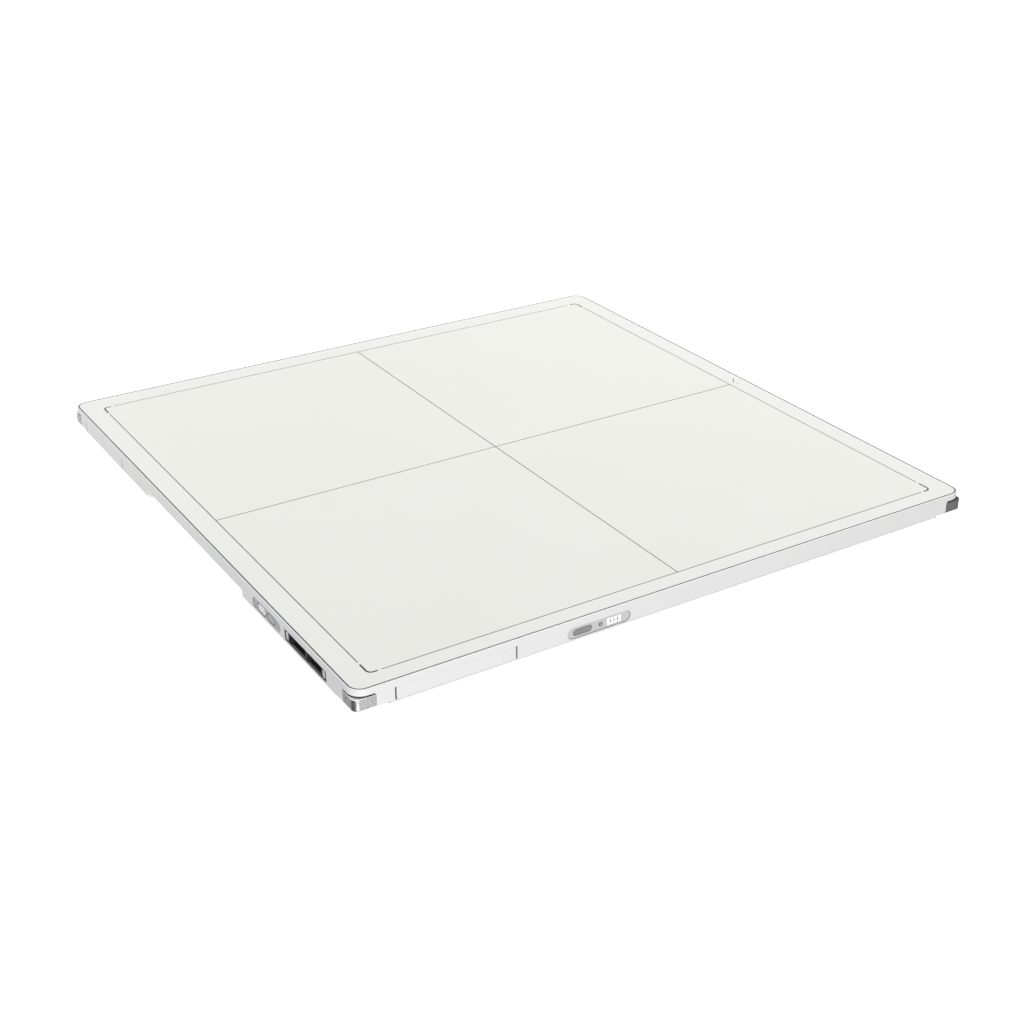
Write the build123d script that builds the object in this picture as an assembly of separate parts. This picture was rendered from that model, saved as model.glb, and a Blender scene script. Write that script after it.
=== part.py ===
from build123d import *
from math import cos, radians
import os

# Flat panel x-ray detector for a 43 cm square image, in millimetres.
# +X runs to the right along the wall with the status panel, +Y to the back and +Z up to the imaging face.
# The origin is the middle of the underside. Pairs of numbers are the low and the high limit of something.
# Places in a wall are measured along it from its middle, to the right as seen from outside, and in depth
# below its outer face.

# Outline
SIZE = 460.0
HALF = SIZE / 2
HEIGHT = 15.0
CORNER_R = 9.0
TOP_EDGE_R = 0.5
BOTTOM_EDGE_R = 2.0
BEYOND = 1.0  # how far a cut runs past the face that it opens

# Side frame
WALL = 2.8
CAVITY_HALF = HALF - WALL
FLOOR_TOP = 2.4
LEDGE = (12.2, 13.8)
LEDGE_HALF = 224.8
POCKET_HALF = 229.25
FLANGE_HALF = 210.0
FLANGE_R = 24.0
RABBET_HALF = 216.3
RABBET_TOP = 1.4
CORNER_STEP_FROM = 208.0
CORNER_STEP_UP = 2.0
CORNER_FLOOR = 1.4
POST_ROOT = 0.2  # how far a post starts inside the floor
RESET_HOLE_ALONG = 93.1
RESET_HOLE_UP = 3.5
RESET_HOLE_R = 0.5

# Finger recesses under the left and right edges
GRIP_HALF_LENGTH = 80.0
GRIP_HEIGHT = 6.0
GRIP_DEPTH = 11.0
GRIP_ARC_R = 5.5
GRIP_SKIN = 1.4

# Covers
COVER_HALF = 228.6
COVER_EDGE_R = 0.2
SEAL_TOP = 14.95
REAR_HALF = 216.0
REAR_COVER = (0.2, 1.4)
REAR_HEAD = (0.3, 1.0)
REAR_SCREW_HALF = 213.2
REAR_SCREW_STEPS = (-150.0, -50.0, 50.0, 150.0)
REAR_BOSS_R = 2.6
REAR_BOSS_TOP = 5.0
REAR_HOLE_TOP = 4.4

# Corner guards
GUARD_FROM = 216.5
GUARD_UP = (CORNER_STEP_UP, 9.65)
GUARD_R = 3.5
GUARD_THICK = 1.5
GUARD_GAP = 0.45
PAD_IN = 0.1
GUARD_SCREW_ALONG = 220.0
GUARD_SCREW_UP = 6.4
GUARD_SCREW_TIP = 0.5
GUARD_EDGE = 0.25

# Screws
SHANK_R = 0.95
HEAD_R = 1.75
HEAD_HIGH = 0.7
SCREW_FIT = 0.05
SOCKET_R = 0.8
SOCKET_DEEP = 0.45
MINI_SHANK_R = 0.6
MINI_HEAD_R = 1.0

# Radio windows
WINDOW_UP = (2.0, 10.4)
WINDOW_ALONG = {"front": (-204.5, -124.9), "left": (-205.0, -129.0)}
WINDOW_GROOVE = 0.9
WINDOW_GAP = 0.05
WINDOW_LIP = 3.0
WINDOW_LIP_UP = 1.5
WINDOW_SKIN = 1.2
WINDOW_PLUG = 3.4
ANTENNA_BOARD_THICK = 1.0
ANTENNA_BOARD_IN = 1.0

# Panels in the walls: both are built to the same depths
PANEL_GAP = 0.12
PANEL_FACE = 0.15
BEZEL_EDGE_R = 0.4
BEZEL_FLANGE = (WALL, 3.8)
BEZEL_RIM = 1.5
BEZEL_RIM_R = 1.0
BEZEL_LEG = 3.0
BEZEL_LEG_IN = 1.0
CAVITY_CLEAR = 0.1
BUTTON_FACE = 0.0
BUTTON_EDGE_R = 0.5
BUTTON_FIT = 0.25
BUTTON_FLANGE = (3.85, 4.45)
BUTTON_FLANGE_RIM = 0.6
BUTTON_TRAVEL = 0.6
LENS_RIM = 0.6
LENS_EDGE_R = 0.5
LENS_BACK = (3.8, 4.4)
SIDE_BOARD = (6.9, 7.9)
SIDE_BOARD_IN = 0.2
SWITCH_AT = BUTTON_FLANGE[1] + BUTTON_TRAVEL + 0.05
SWITCH_PLUNGER = 0.6
SWITCH_PLUNGER_R = 1.2
SWITCH_CASE = (5.0, 4.0)
LAMP = (1.6, 1.2)
LAMP_DEEP = 1.0
STATUS_ALONG = (-90.4, -45.2)
STATUS_UP = (2.3, 9.9)
STATUS_BUTTON_ALONG = (-86.2, -73.1)
STATUS_BUTTON_HEIGHT = 4.0
STATUS_LAMP_ALONG = -66.7
LAMP_R = 0.8
STATUS_BARS = 4
STATUS_BARS_ALONG = (-62.3, -52.2)
STATUS_BAR_WIDTH = 2.2
STATUS_BAR_HEIGHT = 4.6
STATUS_BAR_R = 0.5
STATUS_BAR_PITCH = (STATUS_BARS_ALONG[1] - STATUS_BARS_ALONG[0] - STATUS_BAR_WIDTH) / (STATUS_BARS - 1)
STATUS_MIDDLE = sum(STATUS_UP) / 2
POWER_ALONG = (96.5, 135.9)
POWER_UP = (3.3, 10.5)
POWER_BUTTON_ALONG = (104.2, 114.8)
POWER_BUTTON_HEIGHT = 5.2
POWER_LENS_ALONG = (117.4, 127.8)
POWER_LENS_HEIGHT = 5.2
POWER_LAMP_PITCH = 5.0
POWER_MIDDLE = sum(POWER_UP) / 2

# Tether connector
CONNECTOR_ALONG = (140.9, 196.2)
CONNECTOR_UP = (3.0, 10.5)
CONNECTOR_R = 1.2
CONNECTOR_FACE = 0.4
CONNECTOR_RECESS = 1.65
CONNECTOR_GAP = 0.05
CONNECTOR_RIM = (WALL, 4.2)
CONNECTOR_RIM_UP = 0.9
CONNECTOR_BACK = 10.0
CONNECTOR_BLOCK_IN = 1.0
CONNECTOR_BLOCK_UP = (2.5, 11.2)
POCKETS_ALONG = ((148.4, 168.8), (170.6, 189.4))
POCKET_UP = (3.4, 10.2)
POCKET_BACK = 6.6
POCKET_R = 0.6
POSTS_ALONG = (144.8, 192.8)
GUIDE_POST = (4.6, 6.0)
GUIDE_POST_R = 2.2
GUIDE_POST_PROUD = 0.2
GUIDE_POST_GAP = (0.4, 1.6)
GUIDE_POST_EDGE_R = 0.8
TONGUE_UP = (4.2, 5.2)
TONGUE_FROM = 3.4
TONGUE_IN = 1.2
PINS_IN_POCKET = 5
PIN_PITCH = 3.4
PIN_WIDTH = 1.4
PIN_UP = (5.2, 5.5)
PIN_FROM = 3.8
PIN_TAIL = 1.0

# Battery, its bay and its latches
BATTERY_AT = (0.0, -110.0)
BATTERY_SIZE = (220.0, 100.0)
BATTERY_R = 4.0
BATTERY_GAP = 0.3
BATTERY_CASE_IN = 0.5
BATTERY_CATCH = 3.2
BATTERY_LID_TOP = 1.2
BATTERY_TOP = 6.4
BATTERY_WALL = 1.2
BATTERY_ROOF = 0.8
BATTERY_END = 4.6
CELLS = 3
CELL_GAP = 1.0
CELL_HEADROOM = 0.2
CELL_R = 3.0
PULL_SIZE = (44.0, 14.0, 0.5)
PULL_BACK = 34.0
PULL_R = 4.5
BAY_WALL = 0.8
BAY_ROOF = (6.6, 7.3)
CONTACTS = 5
CONTACT_PITCH = 6.0
CONTACT = (2.4, 3.0)
CONTACT_UP = 4.4
CONTACT_BLOCK = (4.0, 3.6)
CONTACT_TIP = (1.2, 2.0)
CONTACT_TIP_DEEP = 2.4
CONTACT_TIP_PROUD = 0.6
LATCH_KNOB = (14.0, 8.0)
LATCH_PLATE = (26.0, 13.0)
LATCH_PLATE_UP = (1.5, 3.0)
LATCH_TONGUE = 8.0
LATCH_START = 0.5
LATCH_TRAVEL = 3.0
LATCH_NECK = 5.0
LATCH_KNOB_FROM = 8.0
LATCH_FIT = 0.25
LATCH_GROOVES = 4
LATCH_GROOVE = (1.2, 6.0, 0.5)
LATCH_SINK = 0.1
RETAINER_SKIN = 0.8
RETAINER_LEG = 3.0
RETAINER_FROM = 11.0
RETAINER_LENGTH = 10.0
RETAINER_FIT = 0.1

# Image stack
PLATE = (9.6, 11.4)
PLATE_HALF = 219.0
PLATE_RIB = (8.8, 9.6)
PLATE_RIB_WIDTH = 3.0
BOARD_BOSS_R = 3.0
LEAD_SHEET = (11.4, 11.7)
GLASS = (11.7, 12.4)
GLASS_HALF = 217.0
SCINTILLATOR = (12.4, 13.0)
SCINTILLATOR_HALF = 214.0
FOAM = (13.0, 13.8)
POST_HALF = 223.0
POST_STEPS_X = (-105.0, 0.0, 105.0)
POST_STEPS_Y = (-207.0, 0.0, 105.0, 212.0)
POST_HOLE_BOTTOM = 7.8
FRAME_POST_R = 3.2
POST_WEB = 5.0
EAR_WIDTH = 7.0
EAR_REACH = 226.4
EAR_R = 1.5
SCREW_SHORT = 0.1  # how far a screw ends above the bottom of its hole
BOARD_HOLE_TOP = 10.8

# Circuit boards, with the copper side up against the base plate's bosses
BOARD = (7.2, 8.4)
MAIN_BOARD = ((-175.0, 130.0), (-45.0, 120.0))
READOUT_BOARD = ((-210.0, 210.0), (172.0, 212.0))
GATE_BOARD = ((178.0, 212.0), (-200.0, 150.0))
POWER_BOARD = ((-208.0, -118.0), (-175.0, -60.0))
RADIO_BOARD = ((-160.0, -124.0), (-214.0, -184.0))
RADIO_SHIELD = ((-149.0, -135.0), (-206.0, -192.0))
RADIO_SHIELD_HIGH = 2.0
RADIO_SHIELD_R = 1.0
BOARD_R = 2.0
BOARD_SCREW_IN = 6.0

# Rows of chips: the middle of the first, the step along X, the number of them and their size
MAIN_CHIP_ROWS = (
    ((-60.0, 40.0), 105.0, 2, (27.0, 27.0, 1.6)),
    ((-20.0, 75.0), 14.0, 4, (9.0, 13.0, 1.1)),
    ((-100.0, -10.0), 22.0, 5, (10.0, 10.0, 1.0)),
)
POWER_PART_ROWS = (
    ((-190.0, -140.0), 20.0, 3, (12.0, 12.0, 4.0)),
    ((-190.0, -110.0), 14.0, 4, (6.0, 8.0, 1.6)),
)
READOUT_CHIP_ROWS = (((-175.0, 190.0), 50.0, 8, (14.0, 14.0, 1.4)),)

# Flexes that wrap round the edge of the base plate
FLEX_THICK = 0.2
FLEX_WIDTH = 25.0
FLEX_BEND_CLEAR = 0.2
FLEX_BOND = 2.2
FLEX_TAIL_AT = 205.0
FLEX_PITCH = 35.0
READOUT_FLEXES = 12
GATE_FLEXES = 5
FLEX_NECK = 15.0
FLEX_NECK_TO = 211.0
FLEX_CHIP = (18.0, 2.0, 0.8)
FLEX_CHIP_AT = 215.0

# Antenna leads
LEAD_R = 0.6
LEAD_UP = 5.6
LEAD_BEND_R = 6.0
LEAD_ALONG_LEFT = -214.0
LEFT_ANTENNA_Y = 167.0
FRONT_ANTENNA_X = -185.0
SOCKETS_Y = (-210.0, -202.0)
SOCKET_SIZE = 3.0
SOCKET_DROP = 1.0

# Flat cables between boards
RIBBON_THICK = 0.3
RIBBON_BOW = 1.6
RIBBON_BEND_R = 12.0
RIBBON_HOLD = 8.0
RIBBON_WIDE = 24.0
RIBBON_NARROW = 16.0
POWER_RIBBON_X = -150.0
GATE_RIBBON_Y = 40.0


def block(x, y, z):
    """A box between its limits."""
    pairs = (x, y, z)
    size = [high - low for low, high in pairs]
    middle = [(high + low) / 2 for low, high in pairs]
    return Pos(*middle) * Box(*size)


def slab(half, radius, z):
    """A square plate with rounded corners, centred on the origin."""
    return extrude(Plane.XY.offset(z[0]) * RectangleRounded(2 * half, 2 * half, radius), z[1] - z[0])


def plate(x, y, z, radius):
    """A rectangular plate with rounded corners between its limits."""
    outline = RectangleRounded(x[1] - x[0], y[1] - y[0], radius)
    return extrude(Pos((x[0] + x[1]) / 2, (y[0] + y[1]) / 2, z[0]) * outline, z[1] - z[0])


def upright(x, y, z, radius):
    """A round post or hole along Z."""
    return Pos(x, y, (z[0] + z[1]) / 2) * Cylinder(radius, z[1] - z[0])


def grown(pair, by):
    return (pair[0] - by, pair[1] + by)


def around(middle, size):
    return (middle - size / 2, middle + size / 2)


def span(sign, low, high):
    """The limits low to high, or their mirror image."""
    return (low, high) if sign > 0 else (-high, -low)


def group(solids):
    return Compound(children=list(solids))


# A wall's plane looks outwards, so what is set into the wall lies below it.
WALLS = {
    "front": Plane((0, -HALF, 0), x_dir=(1, 0, 0), z_dir=(0, -1, 0)),
    "left": Plane((-HALF, 0, 0), x_dir=(0, -1, 0), z_dir=(-1, 0, 0)),
}


def in_wall(wall, along, up, depth, radius=0.0):
    """A block set into a wall, with rounded corners as seen from outside."""
    size = (along[1] - along[0], up[1] - up[0])
    outline = RectangleRounded(*size, radius) if radius else Rectangle(*size)
    placed = Pos((along[0] + along[1]) / 2, (up[0] + up[1]) / 2, -depth[1]) * outline
    return WALLS[wall] * extrude(placed, depth[1] - depth[0])


def slot_in_wall(wall, along, up, depth):
    """A block with fully round ends set into a wall."""
    outline = SlotOverall(along[1] - along[0], up[1] - up[0])
    placed = Pos((along[0] + along[1]) / 2, (up[0] + up[1]) / 2, -depth[1]) * outline
    return WALLS[wall] * extrude(placed, depth[1] - depth[0])


def bore_in_wall(wall, along, up, depth, radius):
    """A round post or hole square to a wall."""
    placed = Pos(along, up, -depth[1]) * Circle(radius)
    return WALLS[wall] * extrude(placed, depth[1] - depth[0])


def soft_rim(wall, form, radius):
    """A form set into a wall, with the rim of its outer face rounded."""
    inward = Axis((0, 0, 0), -WALLS[wall].z_dir)
    return fillet(form.edges().group_by(inward)[0], radius)


# Corners of the square, with the names that the guards take
CORNERS = {
    "front_left": (-1, -1),
    "front_right": (1, -1),
    "back_left": (-1, 1),
    "back_right": (1, 1),
}


def corner_block(corner, low, high, z):
    side_x, side_y = CORNERS[corner]
    return block(span(side_x, low, high), span(side_y, low, high), z)


# Screw places that the frame shares with the pieces that it carries
POST_PLACES = [(side * POST_HALF, y) for side in (-1, 1) for y in POST_STEPS_Y]
POST_PLACES += [(x, side * POST_HALF) for side in (-1, 1) for x in POST_STEPS_X]
REAR_SCREW_PLACES = [(side * REAR_SCREW_HALF, step) for side in (-1, 1) for step in REAR_SCREW_STEPS]
REAR_SCREW_PLACES += [(step, side * REAR_SCREW_HALF) for side in (-1, 1) for step in REAR_SCREW_STEPS]


def outward(place):
    """The unit step from a place near a wall to that wall."""
    x, y = place
    if abs(x) > abs(y):
        return (1 if x > 0 else -1, 0)
    return (0, 1 if y > 0 else -1)


# Side frame


def grip_form(skin):
    """The space of the left finger recess, or the housing round it when a skin is given."""
    centre_x = -HALF + GRIP_DEPTH - GRIP_ARC_R
    centre_z = GRIP_HEIGHT - GRIP_ARC_R
    radius = GRIP_ARC_R + skin
    slant = radius * cos(radians(45))
    outer_x = -CAVITY_HALF - BEYOND if skin else -HALF - BEYOND
    bottom = FLOOR_TOP / 2 if skin else -BEYOND
    sides = Polyline(
        (centre_x + radius, centre_z),
        (centre_x + radius, bottom),
        (outer_x, bottom),
        (outer_x, centre_z + radius),
        (centre_x, centre_z + radius),
    )
    ceiling = ThreePointArc(
        (centre_x, centre_z + radius),
        (centre_x + slant, centre_z + slant),
        (centre_x + radius, centre_z),
    )
    face = Plane.XZ * make_face([*sides.edges(), *ceiling.edges()])
    return extrude(face, GRIP_HALF_LENGTH + skin, both=True)


def both_sides(left_form):
    return left_form + mirror(left_form, about=Plane.YZ)


def frame_posts():
    """Posts that carry the base plate, each tied to its wall by a web."""
    posts = []
    for x, y in POST_PLACES:
        out_x, out_y = outward((x, y))
        web_x = span(out_x, POST_HALF, HALF - WALL / 2) if out_x else around(x, POST_WEB)
        web_y = span(out_y, POST_HALF, HALF - WALL / 2) if out_y else around(y, POST_WEB)
        post_up = (FLOOR_TOP - POST_ROOT, PLATE[0])
        posts.append(upright(x, y, post_up, FRAME_POST_R) + block(web_x, web_y, post_up))
    return posts


def guard_screw_lines():
    """The wall side and place of each corner guard's two screws, as outer point and inward step."""
    lines = []
    for side_x, side_y in CORNERS.values():
        lines.append(((side_x * HALF, side_y * GUARD_SCREW_ALONG), (-side_x, 0)))
        lines.append(((side_x * GUARD_SCREW_ALONG, side_y * HALF), (0, -side_y)))
    return lines


def level_bore(line, depth, radius):
    """A round form along a guard screw's line, between two depths below the outer face."""
    (x, y), (in_x, in_y) = line
    plane = Plane((x + in_x * depth[0], y + in_y * depth[0], GUARD_SCREW_UP), z_dir=(in_x, in_y, 0))
    return extrude(plane * Circle(radius), depth[1] - depth[0])


def side_frame():
    body = slab(HALF, CORNER_R, (0, HEIGHT))
    body = fillet(body.edges().group_by(Axis.Z)[0], BOTTOM_EDGE_R)
    body = fillet(body.edges().group_by(Axis.Z)[-1], TOP_EDGE_R)
    cavity = slab(CAVITY_HALF, CORNER_R - WALL, (FLOOR_TOP, LEDGE[0]))
    for corner in CORNERS:
        floor_up = (0, CORNER_STEP_UP + CORNER_FLOOR)
        cavity -= corner_block(corner, CORNER_STEP_FROM - CORNER_FLOOR, HALF, floor_up)
        body -= corner_block(corner, CORNER_STEP_FROM, HALF + BEYOND, (-BEYOND, CORNER_STEP_UP))
    body -= cavity
    body -= slab(LEDGE_HALF, CORNER_R - WALL, (LEDGE[0] - BEYOND, HEIGHT))
    body -= slab(POCKET_HALF, CORNER_R - HALF + POCKET_HALF, (LEDGE[1], HEIGHT + BEYOND))
    body -= slab(FLANGE_HALF, FLANGE_R, (-BEYOND, FLOOR_TOP + BEYOND))
    body -= slab(RABBET_HALF, FLANGE_R + RABBET_HALF - FLANGE_HALF, (-BEYOND, RABBET_TOP))
    body += [upright(x, y, (RABBET_TOP, REAR_BOSS_TOP), REAR_BOSS_R) for x, y in REAR_SCREW_PLACES]
    body += frame_posts()
    body += both_sides(grip_form(GRIP_SKIN))
    body -= both_sides(grip_form(0))
    body -= [upright(x, y, (-BEYOND, REAR_HOLE_TOP), SHANK_R + SCREW_FIT) for x, y in REAR_SCREW_PLACES]
    post_holes = (POST_HOLE_BOTTOM, PLATE[0] + BEYOND)
    body -= [upright(x, y, post_holes, SHANK_R + SCREW_FIT) for x, y in POST_PLACES]
    seat = slab(HALF - GUARD_THICK, CORNER_R - GUARD_THICK, (-BEYOND, HEIGHT))
    for corner in CORNERS:
        guard_space = (-BEYOND, GUARD_UP[1] + GUARD_GAP)
        body -= corner_block(corner, GUARD_FROM - GUARD_GAP, HALF + BEYOND, guard_space) - seat
    guard_depth = (-BEYOND, WALL + BEYOND)
    body -= [level_bore(line, guard_depth, MINI_SHANK_R + SCREW_FIT) for line in guard_screw_lines()]
    for wall, along in WINDOW_ALONG.items():
        body -= in_wall(wall, along, WINDOW_UP, (-BEYOND, WINDOW_SKIN))
        hole_up = grown(WINDOW_UP, -WINDOW_LIP_UP)
        body -= in_wall(wall, grown(along, -WINDOW_LIP), hole_up, (-BEYOND, WALL + BEYOND))
    body -= slot_in_wall("front", STATUS_ALONG, STATUS_UP, (-BEYOND, WALL))
    body -= slot_in_wall("left", POWER_ALONG, POWER_UP, (-BEYOND, WALL))
    body -= in_wall("left", CONNECTOR_ALONG, CONNECTOR_UP, (-BEYOND, WALL), CONNECTOR_R)
    reset_depth = (-BEYOND, WALL + BEYOND)
    body -= bore_in_wall("left", RESET_HOLE_ALONG, RESET_HOLE_UP, reset_depth, RESET_HOLE_R)
    return body


# Covers and corner guards


def front_cover():
    body = slab(COVER_HALF, CORNER_R - HALF + COVER_HALF, (LEDGE[1], HEIGHT))
    return fillet(body.edges().group_by(Axis.Z)[-1], COVER_EDGE_R)


def cover_seal():
    """The bead that fills the seam between the front cover and the frame, just below the face."""
    up = (LEDGE[1], SEAL_TOP)
    outer = slab(POCKET_HALF, CORNER_R - HALF + POCKET_HALF, up)
    return outer - slab(COVER_HALF, CORNER_R - HALF + COVER_HALF, up)


def battery_x(by=0.0):
    half = BATTERY_SIZE[0] / 2 + by
    return (BATTERY_AT[0] - half, BATTERY_AT[0] + half)


def battery_y(by=0.0):
    half = BATTERY_SIZE[1] / 2 + by
    return (BATTERY_AT[1] - half, BATTERY_AT[1] + half)


def rear_cover():
    body = slab(REAR_HALF, FLANGE_R + REAR_HALF - FLANGE_HALF, REAR_COVER)
    through = grown(REAR_COVER, BEYOND)
    body -= plate(battery_x(BATTERY_GAP), battery_y(BATTERY_GAP), through, BATTERY_R + BATTERY_GAP)
    for side in (-1, 1):
        body -= latch_slot(side)
    body -= [upright(x, y, through, SHANK_R + SCREW_FIT) for x, y in REAR_SCREW_PLACES]
    sink = (REAR_COVER[0] - BEYOND, REAR_HEAD[1])
    body -= [upright(x, y, sink, HEAD_R + SCREW_FIT) for x, y in REAR_SCREW_PLACES]
    return body


def screws(places, face, seat, tip):
    """Screws along Z, from the face and the seat of the head and the tip, with a hex socket in the face."""
    head_up, shank_up = sorted((face, seat)), sorted((seat, tip))
    inward = 1 if tip > face else -1
    socket_from = min(face, face + inward * SOCKET_DEEP)
    for x, y in places:
        socket = extrude(Pos(x, y, socket_from) * RegularPolygon(SOCKET_R, 6), SOCKET_DEEP)
        yield upright(x, y, head_up, HEAD_R) + upright(x, y, shank_up, SHANK_R) - socket


def rear_cover_screws():
    return group(screws(REAR_SCREW_PLACES, *REAR_HEAD, REAR_HOLE_TOP))


def corner_guard(corner):
    """A metal angle bent round a corner of the frame, seated in its pocket."""
    shell = slab(HALF, GUARD_R, GUARD_UP)
    rims = shell.edges().group_by(Axis.Z)[0] + shell.edges().group_by(Axis.Z)[-1]
    shell = chamfer(rims, GUARD_EDGE)
    shell -= slab(HALF - GUARD_THICK, CORNER_R - GUARD_THICK, grown(GUARD_UP, BEYOND))
    guard = shell & corner_block(corner, GUARD_FROM, HALF + BEYOND, GUARD_UP)
    holes = []
    for line in guard_screw_lines():
        faces_left_or_right = line[1][0] != 0
        start = -BEYOND if faces_left_or_right else GUARD_SCREW_TIP
        holes.append(level_bore(line, (start, WALL), MINI_SHANK_R + SCREW_FIT))
    return guard - holes


def corner_guard_pads():
    """Dark pads between the guards' tops and the frame, in the outline of the frame's corners."""
    pad_up = (GUARD_UP[1], GUARD_UP[1] + GUARD_GAP)
    ring = slab(HALF - PAD_IN, CORNER_R - PAD_IN, pad_up)
    ring -= slab(HALF - GUARD_THICK, CORNER_R - GUARD_THICK, grown(pad_up, BEYOND))
    return group(ring & corner_block(corner, GUARD_FROM, HALF, pad_up) for corner in CORNERS)


def corner_guard_screws():
    """Screws from inside the frame, their tips just short of the guards' faces."""
    return group(
        level_bore(line, (GUARD_SCREW_TIP, WALL), MINI_SHANK_R)
        + level_bore(line, (WALL, WALL + HEAD_HIGH), MINI_HEAD_R)
        for line in guard_screw_lines()
    )


# Radio windows and antennas


def antenna_window(wall):
    """A plastic insert: a skin flush with the wall and a plug through it."""
    along = WINDOW_ALONG[wall]
    skin = in_wall(wall, grown(along, -WINDOW_GROOVE), grown(WINDOW_UP, -WINDOW_GAP), (0, WINDOW_SKIN))
    plug_up = grown(WINDOW_UP, -WINDOW_LIP_UP - WINDOW_GAP)
    plug = in_wall(wall, grown(along, -WINDOW_LIP - WINDOW_GAP), plug_up, (WINDOW_SKIN, WINDOW_PLUG))
    return skin + plug


def antenna_board(wall):
    """The board behind a window, against its plug."""
    along = grown(WINDOW_ALONG[wall], -WINDOW_LIP - ANTENNA_BOARD_IN)
    depth = (WINDOW_PLUG, WINDOW_PLUG + ANTENNA_BOARD_THICK)
    return in_wall(wall, along, grown(WINDOW_UP, -ANTENNA_BOARD_IN), depth)


# Panels in the walls


def panel_bezel(wall, along, up):
    """A grey insert with round ends and a soft rim, its flange behind the wall and two legs for its board."""
    body = slot_in_wall(wall, grown(along, -PANEL_GAP), grown(up, -PANEL_GAP), (PANEL_FACE, WALL))
    body = soft_rim(wall, body, BEZEL_EDGE_R)
    rim_up = (max(up[0] - BEZEL_RIM, FLOOR_TOP + CAVITY_CLEAR), up[1] + BEZEL_RIM / 2)
    body += in_wall(wall, grown(along, BEZEL_RIM), rim_up, BEZEL_FLANGE, BEZEL_RIM_R)
    legs_depth = (BEZEL_FLANGE[1], SIDE_BOARD[0])
    for start in (along[0], along[1] - BEZEL_LEG):
        body += in_wall(wall, (start, start + BEZEL_LEG), grown(up, -BEZEL_LEG_IN), legs_depth)
    return body


STATUS_BUTTON_UP = around(STATUS_MIDDLE, STATUS_BUTTON_HEIGHT)
POWER_BUTTON_UP = around(POWER_MIDDLE, POWER_BUTTON_HEIGHT)


def key(wall, along, up):
    """An oval key with a flange that stops it behind its bezel."""
    cap = soft_rim(wall, slot_in_wall(wall, along, up, (BUTTON_FACE, BUTTON_FLANGE[0])), BUTTON_EDGE_R)
    flange_along = grown(along, BUTTON_FLANGE_RIM)
    return cap + slot_in_wall(wall, flange_along, grown(up, BUTTON_FLANGE_RIM), BUTTON_FLANGE)


def key_hole(wall, along, up, depth):
    return slot_in_wall(wall, grown(along, BUTTON_FIT), grown(up, BUTTON_FIT), depth)


def status_bars(depth):
    """The row of light bars, or the holes for them."""
    up = around(STATUS_MIDDLE, STATUS_BAR_HEIGHT)
    for step in range(STATUS_BARS):
        low = STATUS_BARS_ALONG[0] + step * STATUS_BAR_PITCH
        yield in_wall("front", (low, low + STATUS_BAR_WIDTH), up, depth, STATUS_BAR_R)


def status_bezel():
    body = panel_bezel("front", STATUS_ALONG, STATUS_UP)
    through = (0, BEZEL_FLANGE[1] + BEYOND)
    body -= key_hole("front", STATUS_BUTTON_ALONG, STATUS_BUTTON_UP, through)
    body -= bore_in_wall("front", STATUS_LAMP_ALONG, STATUS_MIDDLE, through, LAMP_R)
    return body - list(status_bars(through))


def status_light_guide():
    """Milky bars and a round lamp lens on one backing strip."""
    strip_along = (STATUS_LAMP_ALONG - LAMP_R - LENS_RIM, STATUS_BARS_ALONG[1] + LENS_RIM)
    strip_up = grown(around(STATUS_MIDDLE, STATUS_BAR_HEIGHT), LENS_RIM)
    depth = (PANEL_FACE, LENS_BACK[1])
    body = in_wall("front", strip_along, strip_up, LENS_BACK) + list(status_bars(depth))
    return body + bore_in_wall("front", STATUS_LAMP_ALONG, STATUS_MIDDLE, depth, LAMP_R)


def power_bezel():
    body = panel_bezel("left", POWER_ALONG, POWER_UP)
    through = (0, BEZEL_FLANGE[1] + BEYOND)
    body -= key_hole("left", POWER_BUTTON_ALONG, POWER_BUTTON_UP, through)
    return body - power_lens_form(through)


def power_lens_form(depth):
    return slot_in_wall("left", POWER_LENS_ALONG, around(POWER_MIDDLE, POWER_LENS_HEIGHT), depth)


def power_lens():
    """The lamp lens with the rim that stops it behind the bezel."""
    rim_along = grown(POWER_LENS_ALONG, LENS_RIM)
    rim_up = grown(around(POWER_MIDDLE, POWER_LENS_HEIGHT), LENS_RIM)
    rim = in_wall("left", rim_along, rim_up, LENS_BACK, BEZEL_RIM_R)
    return soft_rim("left", power_lens_form((PANEL_FACE, LENS_BACK[1])), LENS_EDGE_R) + rim


def side_board(wall, along, up):
    """The small board behind a panel, on the bezel's legs."""
    return in_wall(wall, along, grown(up, -SIDE_BOARD_IN), SIDE_BOARD, BEZEL_RIM_R)


def side_switches():
    """The switch behind each key, with its round plunger towards the key."""
    keys = (("front", STATUS_BUTTON_ALONG, STATUS_MIDDLE), ("left", POWER_BUTTON_ALONG, POWER_MIDDLE))
    for wall, along, middle in keys:
        centre = sum(along) / 2
        case_at = SWITCH_AT + SWITCH_PLUNGER
        case_up = around(middle, SWITCH_CASE[1])
        case = in_wall(wall, around(centre, SWITCH_CASE[0]), case_up, (case_at, SIDE_BOARD[0]))
        yield case + bore_in_wall(wall, centre, middle, (SWITCH_AT, case_at), SWITCH_PLUNGER_R)


def side_lamps():
    """The light sources on the two panel boards."""
    depth = (SIDE_BOARD[0] - LAMP_DEEP, SIDE_BOARD[0])
    first = STATUS_BARS_ALONG[0] + STATUS_BAR_WIDTH / 2
    for place in [STATUS_LAMP_ALONG] + [first + step * STATUS_BAR_PITCH for step in range(STATUS_BARS)]:
        yield in_wall("front", around(place, LAMP[0]), around(STATUS_MIDDLE, LAMP[1]), depth)
    for place in around(sum(POWER_LENS_ALONG) / 2, POWER_LAMP_PITCH):
        yield in_wall("left", around(place, LAMP[0]), around(POWER_MIDDLE, LAMP[1]), depth)


# Tether connector


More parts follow.
